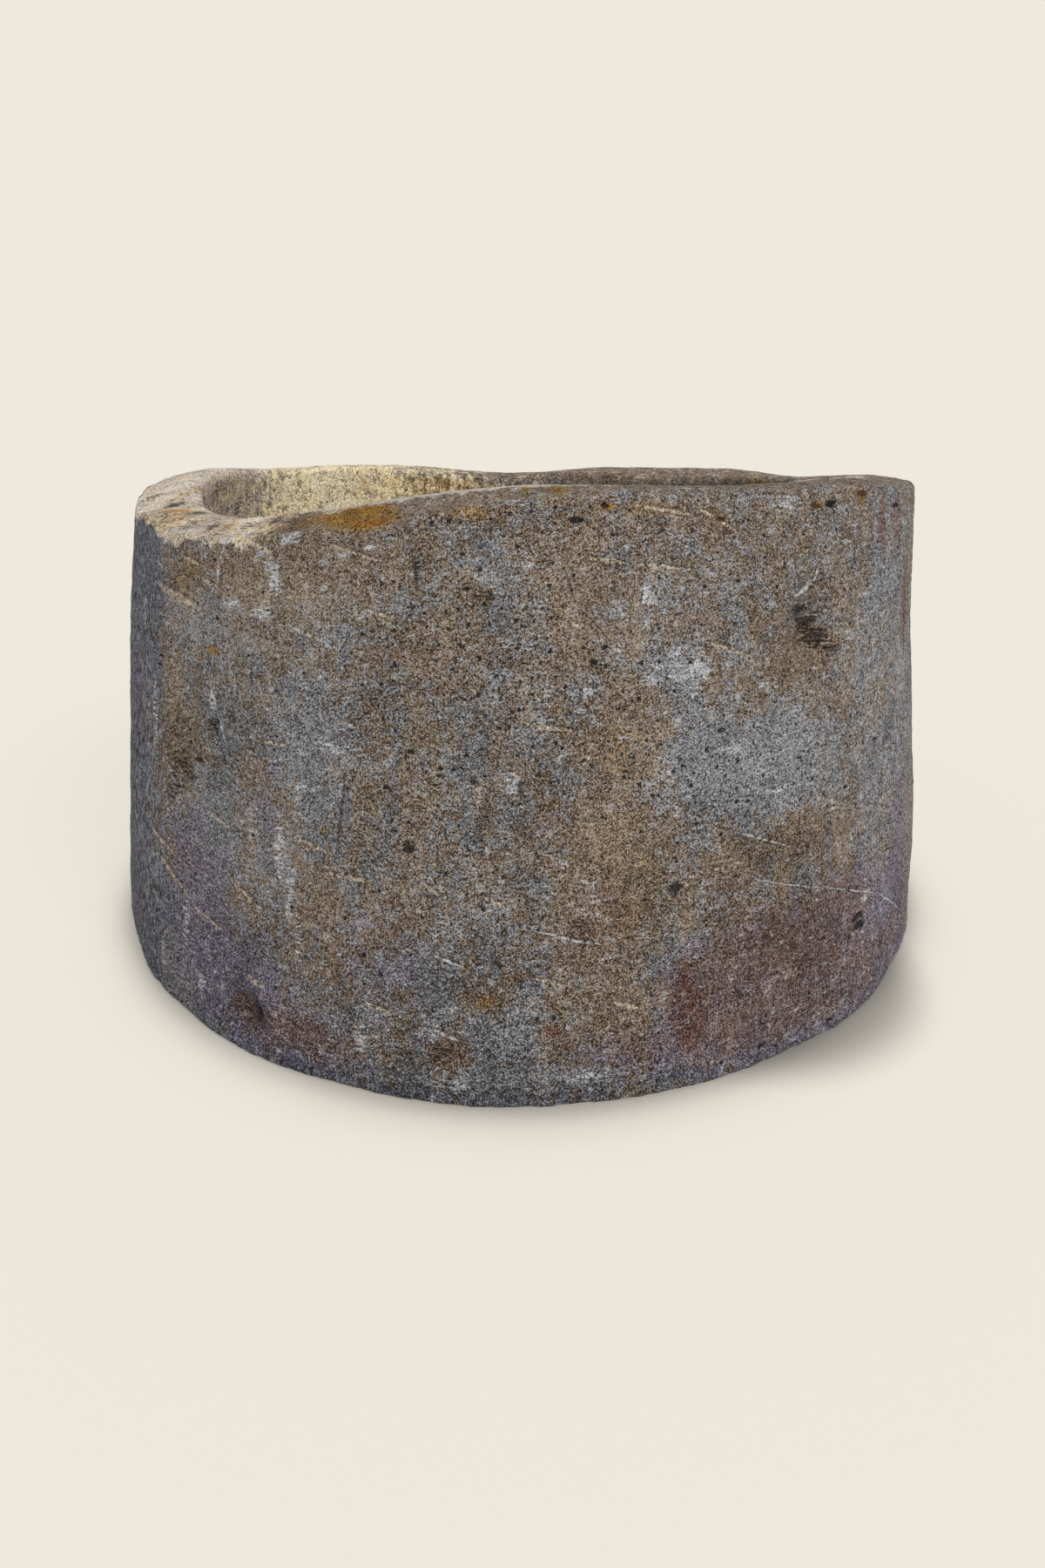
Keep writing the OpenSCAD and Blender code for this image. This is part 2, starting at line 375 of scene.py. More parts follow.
PALE_STAINS = [
    [744, 682, 11, 16, 1], [748, 672, 12, 5, 0.7], [745, 715, 9, 5, 0.7], [750, 781, 16, 9, 1],
    [758, 752, 10, 5, 0.5], [776, 748, 12, 5, 0.5], [805, 750, 12, 6, 0.8], [802, 772, 18, 11, 1],
    [798, 792, 14, 4, 0.8], [677, 796, 11, 4, 0.9], [721, 823, 15, 4, 1], [778, 827, 8, 4, 0.6],
    [668, 819, 10, 5, 0.5], [618, 825, 22, 8, 0.4], [607, 647, 12, 9, 0.5], [886, 692, 5, 7, 0.6],
    [717, 847, 6, 6, 0.6], [703, 852, 7, 5, 0.6], [879, 785, 9, 10, 0.4], [930, 668, 5, 6, 0.6],
    [785, 768, 64, 38, 0.18], [626, 562, 13, 7, 1], [332, 618, 16, 11, 1.1], [303, 633, 11, 8, 0.9],
    [312, 650, 11, 12, 1], [316, 667, 8, 16, 1.1], [323, 675, 8, 7, 0.7], [392, 637, 9, 8, 0.7],
    [425, 627, 12, 5, 0.5], [268, 692, 14, 7, 0.8], [303, 705, 18, 10, 0.9], [240, 640, 5, 7, 0.5],
    [202, 609, 12, 5, 0.9], [228, 614, 12, 4, 0.7], [260, 619, 12, 5, 0.8], [245, 800, 8, 22, 0.6],
    [254, 830, 5, 20, 0.8], [320, 975, 9, 60, 0.55], [332, 1030, 7, 50, 0.55], [344, 1085, 6, 40, 0.45],
    [190, 1095, 5, 26, 0.5], [215, 1060, 5, 40, 0.5], [232, 1130, 7, 12, 0.6], [500, 1180, 10, 24, 0.4],
    [415, 1190, 12, 36, 0.4], [230, 1120, 9, 8, 0.7], [742, 1236, 9, 6, 1], [1000, 1030, 12, 10, 0.4],
    [590, 905, 16, 20, 0.55], [905, 576, 24, 12, 0.6], [905, 1128, 6, 5, 0.8], [680, 1234, 60, 10, 0.5],
    [520, 1240, 40, 8, 0.5], [588, 575, 14, 3, 0.8], [380, 860, 30, 8, 0.4], [350, 905, 30, 8, 0.4],
    [400, 835, 26, 6, 0.45], [840, 860, 40, 8, 0.35], [900, 905, 30, 8, 0.35], [185, 820, 4, 60, 0.4],
    [168, 700, 3, 30, 0.5],
]
PORE_STAINS = [
    [560, 760, 200, 160, 0.9], [620, 590, 160, 30, 0.9], [880, 900, 150, 120, 0.8],
    [470, 920, 80, 80, 0.8], [720, 860, 120, 90, 0.6],
]
# Where the front is lighter, or darker: partly its own tone, partly painted shade, deepest along
# the foot, and painted light, as on the shaded upper side of the gouge at the upper right
TONE_LIGHT_AND_SHADE = [
    [740, 700, 60, 90, 0.7], [750, 870, 40, 60, 0.7], [835, 900, 60, 80, 0.3],
    [1036, 760, 14, 100, 1.2], [980, 760, 70, 160, 0.5], [880, 870, 150, 100, 0.6],
    [360, 880, 70, 100, 0.4], [245, 720, 60, 90, 1.2], [870, 670, 90, 80, 0.2],
    [500, 580, 60, 12, -0.5], [325, 620, 30, 30, 0.5], [420, 635, 46, 34, 0.7], [225, 710, 18, 46, 0.7],
    [335, 970, 30, 80, 0.7], [600, 640, 90, 50, 0.4], [520, 1090, 30, 70, 0.3], [700, 600, 70, 30, 0.3],
    [740, 1160, 40, 50, 0.2], [205, 868, 28, 50, -0.9], [530, 600, 80, 26, -0.7],
    [900, 1080, 150, 130, -0.7], [290, 1180, 70, 60, -1], [420, 1235, 140, 30, -0.9],
    [560, 1142, 60, 20, -0.6], [480, 1170, 60, 60, -0.5], [600, 1252, 300, 22, -1.6],
    [345, 600, 44, 12, 0.8], [560, 1216, 190, 26, -0.9], [565, 1112, 100, 70, -0.6],
    [600, 600, 170, 30, -0.6], [880, 740, 70, 60, -0.5], [905, 975, 100, 40, -0.5],
    [550, 840, 90, 90, -0.5], [640, 1236, 120, 10, 0.9], [640, 910, 40, 70, -0.3],
    [791, 1150, 24, 56, -0.8], [415, 825, 14, 44, -0.5], [255, 740, 20, 30, -0.4],
    [245, 825, 24, 34, -0.5], [952, 668, 26, 22, 0.6], [930, 750, 50, 44, -0.9],
    [540, 960, 40, 44, -0.3], [250, 1060, 90, 90, -0.5], [380, 1130, 80, 70, -0.4],
    [890, 580, 60, 18, -0.4], [350, 690, 130, 90, 1.4], [680, 730, 90, 110, 0.9],
    [700, 960, 80, 150, 0.35], [720, 1130, 60, 70, 0.5], [580, 1110, 90, 80, -0.7],
    [560, 870, 160, 180, -0.4], [905, 975, 95, 44, -0.4], [560, 1215, 180, 30, -0.5],
    [570, 1110, 100, 70, -0.6], [900, 985, 110, 40, -0.8], [660, 1180, 160, 50, -0.6],
]

# Stains on the top of the rim's worn side, placed in the same way
RIM_OCHRE = [
    [200, 592, 50, 6, 0.6], [160, 575, 12, 6, 0.8], [222, 562, 10, 6, 1], [255, 608, 22, 6, 0.8],
    [300, 604, 50, 8, 0.7], [190, 600, 30, 5, 0.6],
]
RIM_RUST = [
    [203, 586, 26, 2.2, 0.8], [264, 603, 7, 3, 0.7],
]
RIM_DARK = [
    [201, 580, 15, 1.5, 1.4], [227, 588, 10, 1.5, 1.3], [244, 606, 5, 2.5, 1.2], [317, 597, 7, 2, 1.2],
    [176, 571, 14, 1.2, 0.7], [285, 603, 12, 1.4, 0.6],
]
# Where it is lighter, or darker
RIM_TONE = [
    [285, 597, 50, 12, 0.8], [190, 565, 44, 10, 2.2], [232, 584, 16, 4, 2.4], [255, 592, 20, 3.5, 2.6],
    [285, 597, 26, 3.5, 2.4], [290, 601, 44, 8, 1.8], [222, 575, 10, 5, 1.8], [210, 588, 40, 4, -1.4],
    [170, 590, 24, 5, -1], [230, 600, 40, 5, -1.2], [270, 606, 40, 5, -0.8], [330, 600, 60, 8, -1.2],
    [240, 560, 16, 5, -1.2],
]

# Chisel marks on the front, by their tone: [from x, from y, to x, to y, half width in mm]
TAN, BRIGHT, SHADE = 1, 2, 3
CHISEL_MARKS = {
    TAN: [
        [182, 667, 232, 698, 2.2], [668, 640, 730, 647, 1], [726, 647, 786, 654, 1.05],
        [811, 737, 866, 754, 0.9], [600, 831, 668, 842, 1.05], [208, 634, 242, 653, 1],
        [228, 659, 256, 676, 1.05], [180, 641, 196, 656, 1], [276, 615, 324, 641, 1],
        [373, 624, 442, 646, 1], [176, 944, 206, 986, 1.3], [182, 971, 224, 1039, 1.4],
        [220, 1038, 257, 1072, 0.9], [233, 929, 267, 956, 1], [266, 1017, 302, 1051, 1.05],
        [343, 964, 382, 983, 1.3], [373, 1002, 432, 1013, 1.05], [284, 1119, 302, 1136, 1.3],
        [486, 1014, 506, 1031, 1.05], [555, 1030, 580, 1041, 1.05], [722, 579, 802, 591, 0.9],
        [798, 579, 852, 611, 0.9], [303, 850, 330, 858, 0.9], [420, 700, 450, 712, 0.9],
        [330, 715, 372, 738, 0.9], [700, 1150, 742, 1160, 0.9], [420, 1150, 455, 1166, 1.05],
        [610, 1120, 650, 1130, 0.9],
    ],
    BRIGHT: [
        [262, 618, 254, 645, 0.8], [914, 686, 936, 668, 1.6], [936, 668, 941, 644, 1],
        [255, 638, 252, 670, 1.1], [251, 666, 244, 686, 0.6], [241, 782, 250, 815, 1],
        [248, 812, 260, 856, 1], [608, 1067, 700, 1087, 0.6], [498, 1179, 532, 1193, 0.8],
        [498, 1096, 538, 1111, 0.6], [843, 954, 912, 973, 0.6], [863, 1009, 952, 1021, 0.35],
        [950, 1020, 1012, 1026, 0.4], [1010, 1025, 1040, 1045, 0.6],
    ],
    SHADE: [
        [1003, 728, 1001, 742, 1.1], [390, 560, 404, 578, 0.6], [474, 636, 480, 684, 0.9],
        [396, 884, 386, 988, 1], [484, 1027, 507, 1034, 1], [677, 758, 689, 764, 1],
        [597, 897, 600, 921, 1.6], [1041, 640, 1041, 760, 1.4], [288, 1140, 312, 1190, 1.6],
        [650, 655, 662, 690, 0.7],
    ],
}

# Open pores and chips on the front, by their tone: [x, y, radius in pixels, depth in mm]
HOLE, OCHRE_HOLE = 1, 2
PORES = {
    HOLE: [
        [660, 597, 5, 2], [669, 597, 4, 2], [953, 578, 6, 3.5], [1025, 580, 4, 1.5],
        [990, 1055, 8, 1.5], [991, 1065, 7, 1.5], [950, 1080, 3.5, 1.2], [955, 1172, 4, 1.5],
        [877, 1203, 5, 1.5], [444, 906, 4.5, 1.5], [505, 892, 3.5, 1.2], [522, 885, 3, 1.2],
        [544, 899, 3.5, 1.2], [827, 839, 3.5, 1.2], [192, 752, 3, 1], [190, 762, 3, 1],
        [452, 615, 3, 1.2], [530, 600, 3, 1.2], [565, 596, 2.5, 1.2], [612, 588, 3, 1.2],
        [640, 582, 2.5, 1.2], [706, 614, 3, 1.2], [590, 742, 3, 1.2], [520, 770, 3, 1.2],
        [532, 745, 3, 1.2], [596, 745, 3, 1.2], [684, 761, 4.5, 1.4], [672, 745, 2.5, 1],
        [642, 768, 2.5, 1], [581, 762, 2.5, 1], [590, 819, 3, 1.2], [574, 837, 3, 1.2],
        [472, 865, 4.5, 1.6], [507, 884, 3.5, 1.4], [537, 869, 3, 1.2], [558, 893, 3, 1.4],
        [545, 900, 3.5, 1.4], [500, 903, 3, 1.2], [647, 861, 2.5, 1], [720, 886, 3, 1.2],
        [750, 913, 3, 1.2], [759, 854, 3, 1.2], [759, 760, 2.5, 1], [768, 779, 2.5, 1],
        [829, 838, 4.5, 1.4], [813, 674, 3, 1], [850, 667, 2.5, 1], [699, 743, 2.5, 1],
        [455, 955, 3, 1.2], [735, 900, 3, 1.2], [800, 945, 3, 1.2], [860, 920, 3, 1.2],
        [920, 870, 3, 1.2], [975, 905, 3, 1.2], [880, 640, 3, 1.2], [1010, 850, 3, 1.2],
        [560, 940, 3, 1.2], [620, 985, 2.5, 1.2], [420, 820, 2.5, 1.2],
    ],
    OCHRE_HOLE: [
        [936, 580, 5, 1.5], [986, 566, 5, 1.5], [831, 596, 5, 1.5], [697, 581, 5, 1.2],
        [228, 874, 5, 2], [500, 760, 3, 1.2], [523, 883, 3, 1.2], [619, 891, 2.5, 1],
    ],
}

# Hollows and lumps too small for the source: [x, y, half width, half height, depth in mm]
DENTS = [
    [926, 706, 14, 16, 2], [936, 732, 14, 18, 2], [950, 672, 24, 16, 1.5], [905, 752, 36, 26, 1.6],
    [208, 880, 26, 36, -2.5], [245, 834, 12, 20, 1.2], [272, 1158, 20, 24, -2], [298, 1176, 12, 26, 2],
    [552, 686, 28, 14, 1.6], [395, 935, 10, 60, 1.2], [268, 825, 8, 20, 1.2], [326, 1015, 16, 48, -1],
    [200, 800, 12, 220, -1.4], [478, 660, 8, 28, 1], [600, 700, 60, 50, -0.8], [820, 700, 50, 60, 0.8],
    [1000, 760, 20, 120, 1], [700, 1100, 60, 90, 0.8], [508, 1208, 30, 22, 1.2],
]


def front_patches(table):
    return [[*patch_on_wall(x, y, w, h), strength] for x, y, w, h, strength in table]


def unseen_places(rng, count, low=8, high=300):
    """Random places on the part of the outer wall that the photograph doesn't show."""
    reach = math.pi * WALL_R
    seen = math.radians(SEEN_HALF) * WALL_R
    places = []
    for _ in range(count):
        s = rng.uniform(seen, 2 * reach - seen)
        places.append((s if s < reach else s - 2 * reach, rng.uniform(low, high)))
    return places


def unseen_patches(rng, count, half_w, half_h, strength):
    return [
        [s, z, rng.uniform(*half_w), rng.uniform(*half_h), rng.uniform(*strength)]
        for s, z in unseen_places(rng, count)
    ]


def round_gap(s, at):
    """Distance round the wall between s and at, the short way."""
    turn = 2 * math.pi * WALL_R
    return s - at - turn * np.round((s - at) / turn)


def painted(s, z, patches, gap=round_gap):
    """Sum of soft patches at the places s, z of the outer wall, or at x, y in plan with a plain gap."""
    total = np.zeros_like(s)
    for at, height, half_w, half_h, strength in patches:
        total += strength * swell(np.hypot(gap(s, at) / half_w, (z - height) / half_h))
    return total


# The stone's mesh


def deselect_all():
    if bpy.context.mode != "OBJECT":
        bpy.ops.object.mode_set(mode="OBJECT")
    bpy.ops.object.select_all(action="DESELECT")


def column_angles():
    """Angles of the columns, closer together over the front, which the photograph shows."""
    a = np.linspace(-180, 180, 7201)
    density = 1 + FRONT_EXTRA / (1 + np.exp((np.abs(a) - FRONT_HALF) / FRONT_FADE))
    share = np.concatenate([[0], np.cumsum((density[1:] + density[:-1]) / 2)])
    return np.interp(np.arange(COLUMNS) / COLUMNS, share / share[-1], a)


def spun_ring(name, points):
    """A closed section of (radius, height) points in mm, spun into a full turn about Z."""
    deselect_all()
    bpy.ops.mesh.primitive_circle_add(vertices=len(points), radius=1, fill_type="NOTHING")
    ring = bpy.context.object
    ring.name = name
    for vertex, (r, z) in zip(ring.data.vertices, points):
        vertex.co = (0, -r * MM, z * MM)
    bpy.ops.object.mode_set(mode="EDIT")
    bpy.ops.mesh.select_all(action="SELECT")
    bpy.ops.mesh.spin(steps=COLUMNS, angle=2 * math.pi, center=(0, 0, 0), axis=(0, 0, 1))
    bpy.ops.mesh.select_all(action="SELECT")
    bpy.ops.mesh.remove_doubles(threshold=0.00005)
    bpy.ops.mesh.normals_make_consistent(inside=False)
    bpy.ops.object.mode_set(mode="OBJECT")
    return ring


def vertex_places(mesh):
    places = np.empty(len(mesh.vertices) * 3)
    mesh.vertices.foreach_get("co", places)
    return places.reshape(-1, 3)


def put_vertices(mesh, places):
    mesh.vertices.foreach_set("co", places.ravel())
    mesh.update()


def rows_and_columns(mesh, points):
    """Row and column of each vertex of the spun ring."""
    places = vertex_places(mesh) / MM
    turn = np.degrees(np.arctan2(-places[:, 0], -places[:, 1]))
    column = np.round(turn / (360 / COLUMNS)).astype(int) % COLUMNS
    r = np.hypot(places[:, 0], places[:, 1])
    points = np.array(points)
    row = np.empty(len(r), int)
    batch = 20000
    for start in range(0, len(r), batch):
        part = slice(start, start + batch)
        gap = (r[part, None] - points[:, 0]) ** 2 + (places[part, 2, None] - points[:, 1]) ** 2
        row[part] = gap.argmin(1)
    return row, column


def rough(stone, group, size, depth):
    """Roughens a vertex group with Blender's Displace modifier and clouds of this size and depth."""
    texture = bpy.data.textures.new(f"{group}_{size}", "CLOUDS")
    texture.noise_scale = size * MM
    texture.noise_depth = 3
    clouds = stone.modifiers.new("rough", "DISPLACE")
    clouds.texture = texture
    clouds.texture_coords = "LOCAL"
    clouds.direction = "NORMAL"
    clouds.strength = depth * MM
    clouds.mid_level = 0.5
    clouds.vertex_group = group
    deselect_all()
    stone.select_set(True)
    bpy.context.view_layer.objects.active = stone
    bpy.ops.object.modifier_apply(modifier=clouds.name)


def wander(x, y, z, size, seed):
    """Smooth noise from -1 to 1 at points in mm, with features this size."""
    shift = Vector((seed * 7.3, seed * 3.1, seed * 1.7))
    points = np.stack([x, y, z], 1) / size
    return np.array([noise.noise(Vector(p) + shift) for p in points])


def wander_round(s, size, seed):
    """The same noise, changing only with the distance s round the block, and not with the height."""
    return wander(s, 0 * s, 0 * s, size, seed)


def face_corners(mesh):
    """The four vertices of each face."""
    corners = np.empty(len(mesh.loops), int)
    mesh.loops.foreach_get("vertex_index", corners)
    return corners.reshape(-1, 4)


def unwrapped(mesh, row, column, angles, along):
    """A UV map of the skin, in metres: the distance round the block, and the way along its section."""
    corners = face_corners(mesh)
    columns, rows = column[corners], row[corners]
    turn, way = angles[columns], along[rows]
    past_seam = (columns.max(1) - columns.min(1) > 1)[:, None] & (columns == 0)
    turn = turn + 360 * past_seam
    last = rows.max(1) - rows.min(1) > 1
    way = np.where(last[:, None] & (rows == 0), along[-1] + 20, way)
    places = np.stack([np.radians(turn) * WALL_R, way], -1) * MM
    layer = mesh.uv_layers.new(name="skin")
    layer.uv.foreach_set("vector", places.astype(np.float32).ravel())


def keep(mesh, name, domain, values):
    """Keeps three numbers at each vertex, or at each corner of a face, as an attribute of the mesh."""
    attribute = mesh.attributes.new(name, "FLOAT_VECTOR", domain)
    attribute.data.foreach_set("vector", values.astype(np.float32).ravel())


def keep_marks(mesh, name, s, z, outside, marks, measure, reach):
    """Keeps, for each corner of a face, where it lies in the mark that is nearest to the face.

    measure(mark, s, z) gives two coordinates in the mark, within 1 of 0 inside it, and reach(mark)
    is how far from the mark, in its own coordinates, a face may still show it.
    """
    corners = face_corners(mesh)
    corner_s, corner_z = s[corners], z[corners]
    first = corner_s[:, :1]
    face_s = (first + round_gap(corner_s, first)).mean(1)
    face_z = corner_z.mean(1)
    on_skin = outside[corners].all(1)
    nearest = np.full(len(corners), 1e9)
    chosen = np.full(len(corners), -1)
    for i, mark in enumerate(marks):
        along, across = measure(mark, face_s, face_z)
        limit_along, limit_across = reach(mark)
        far = np.hypot(np.maximum(np.abs(along) - 1, 0), across)
        better = (np.abs(along) < limit_along) & (np.abs(across) < limit_across) & on_skin & (far < nearest)
        nearest[better] = far[better]
        chosen[better] = i
    far_off = 9.0
    values = np.full((*corners.shape, 3), far_off)
    values[..., 2] = 0
    for i, mark in enumerate(marks):
        here = chosen == i
        along, across = measure(mark, corner_s[here], corner_z[here])
        values[here] = np.stack([along, across, np.full(along.shape, mark[-1])], -1)
    keep(mesh, name, "CORNER", values)


def in_stroke(mark, s, z):
    """How far along a chisel mark a place is, and how far across it."""
    s0, z0, s1, z1, half, _ = mark
    length = math.hypot(s1 - s0, z1 - z0)
    ds, dz = round_gap(s, (s0 + s1) / 2), z - (z0 + z1) / 2
    along = (ds * (s1 - s0) + dz * (z1 - z0)) / (length * length / 2)
    across = (dz * (s1 - s0) - ds * (z1 - z0)) / (length * half)
    return along, across


def in_pore(mark, s, z):
    """How far across a pore a place is, and how far up it."""
    at, height, half_s, half_z, _, _ = mark
    return round_gap(s, at) / half_s, (z - height) / half_z


def chisel_marks(rng):
    marks = []
    for tone, rows in CHISEL_MARKS.items():
        for x0, y0, x1, y1, half in rows:
            marks.append([*on_wall(x0, y0)[:2], *on_wall(x1, y1)[:2], 1.1 * half, tone])
    for s, z in unseen_places(rng, 110, 12, 292):
        length, lean = rng.uniform(9, 34), math.radians(rng.gauss(-32, 16))
        reach_s, reach_z = length / 2 * math.cos(lean), length / 2 * math.sin(lean)
        tone = rng.choice([TAN, TAN, TAN, BRIGHT, SHADE])
        marks.append([s - reach_s, z - reach_z, s + reach_s, z + reach_z, rng.uniform(0.7, 1.5), tone])
    return marks


def pores(rng):
    marks = []
    for tone, rows in PORES.items():
        for x, y, radius, depth in rows:
            marks.append([*patch_on_wall(x, y, radius, radius), depth, tone])
    for s, z in unseen_places(rng, 90, 6, 300):
        radius = rng.uniform(1.1, 2.6)
        tone = rng.choice([HOLE, HOLE, HOLE, OCHRE_HOLE])
        marks.append([s, z, radius * rng.uniform(1, 1.6), radius, rng.uniform(1, 2.5), tone])
    return marks


def stone_block():
    """The carved block: spun from its section, moved onto its real shape, then worn and painted."""
    plain = [(float(r), float(z)) for _, r, z, _ in block_section(np.array(0.0))]
    stone = spun_ring("stone_block", plain)
    mesh = stone.data
    row, column = rows_and_columns(mesh, plain)
    angles = column_angles()
    section = block_section(angles)
    stretches = np.array([name for name, *_ in section])
    radius = np.array([r for _, r, _, _ in section])
    height = np.array([z for _, _, z, _ in section])
    follows = np.array([shift for *_, shift in section])
    x, y = -radius * sin_deg(angles), -radius * cos_deg(angles)
    x = x - (follows * (x.max() + x.min()) / 2)[:, None]
    y = y - (follows * (y.max() + y.min()) / 2)[:, None]
    x, y, z = x[row, column], y[row, column], height[row, column]
    a = angles[column]
    stretch = stretches[row]
    s = np.radians(a) * WALL_R
    outside = np.isin(stretch, OUTSIDE)
    inside = stretch == "bowl"

    # How far each row is along the section, from the outer edge of the foot
    step = np.hypot(np.diff(radius.mean(1)), np.diff(height.mean(1)))
    along = np.concatenate([[0], np.cumsum(step)])
    foot_of_wall = np.argmax(stretches == "wall")
    along += height.mean(1)[foot_of_wall] - along[foot_of_wall]
    unwrapped(mesh, row, column, angles, along)

    rng = random.Random(11)
    strokes, holes = chisel_marks(rng), pores(rng)
    dents = front_patches(DENTS) + unseen_patches(rng, 26, (8, 30), (8, 30), (0.8, 3.2))

    # Dents, chisel marks and open pores go into the wall itself
    inward = painted(s, z, dents)
    for mark in strokes:
        reach, across = in_stroke(mark, s, z)
        inward += GROOVE_DEPTH * swell(across * mark[4] / GROOVE_HALF_W) * (np.abs(reach) < 1)
    for mark in holes:
        across, up = in_pore(mark, s, z)
        inward += mark[4] * swell(np.hypot(across, up) / 1.5)
    inward *= outside

    # The rim's edges are chipped, and its top is uneven
    def nibbled(edge, depth, size, small_size, seed):
        chips = wander_round(s, size, seed) + 0.6 * wander_round(s, small_size, seed + 1)
        return depth * np.clip(chips, 0, 2) * (stretch == edge)

    outer_nibble = nibbled("outer edge", 1.6, 17, 6, 3)
    inner_nibble = nibbled("inner edge", 2.0, 15, 5, 5)
    r = np.hypot(x, y)
    swollen = 1 + (inner_nibble - inward - outer_nibble) / r
    x, y = x * swollen, y * swollen
    z = z - 0.8 * outer_nibble - 0.8 * inner_nibble
    z = z + 0.7 * wander(x, y, z, 22, 7) * (stretch == "rim")
    put_vertices(mesh, np.stack([x, y, z], 1) * MM)

    # The dressing is rough all over, and the bowl is hewn more coarsely
    dressed = stone.vertex_groups.new(name="dressed")
    hewn = stone.vertex_groups.new(name="hewn")
    for group, part, share in [
        (dressed, outside, 1.0),
        (dressed, stretch == "rim", 0.7),
        (dressed, stretch == "inner edge", 0.8),
        (dressed, inside, 0.9),
        (hewn, inside, 1.0),
    ]:
        group.add(np.flatnonzero(part).tolist(), share, "REPLACE")
    for size, depth in [(38, 2.0), (11, 1.1), (5, 0.7)]:
        rough(stone, "dressed", size, depth)
    rough(stone, "hewn", 26, 3.0)

    places = vertex_places(mesh)
    places[:, 2] = np.maximum(places[:, 2], 0)
    put_vertices(mesh, places)

    paint(mesh, rng, x, y, s, z, a, stretch)
    keep_marks(
        mesh, "chisel", s, z, outside, strokes, in_stroke,
        lambda mark: (1 + 5 / math.hypot(mark[2] - mark[0], mark[3] - mark[1]), 1.3 + 2.4 / mark[4]),
    )
    keep_marks(
        mesh, "pore", s, z, outside, holes, in_pore,
        lambda mark: (1.3 + 2 / mark[2], 1.3 + 2.4 / mark[3]),
    )
    bpy.ops.object.shade_smooth()
    return stone


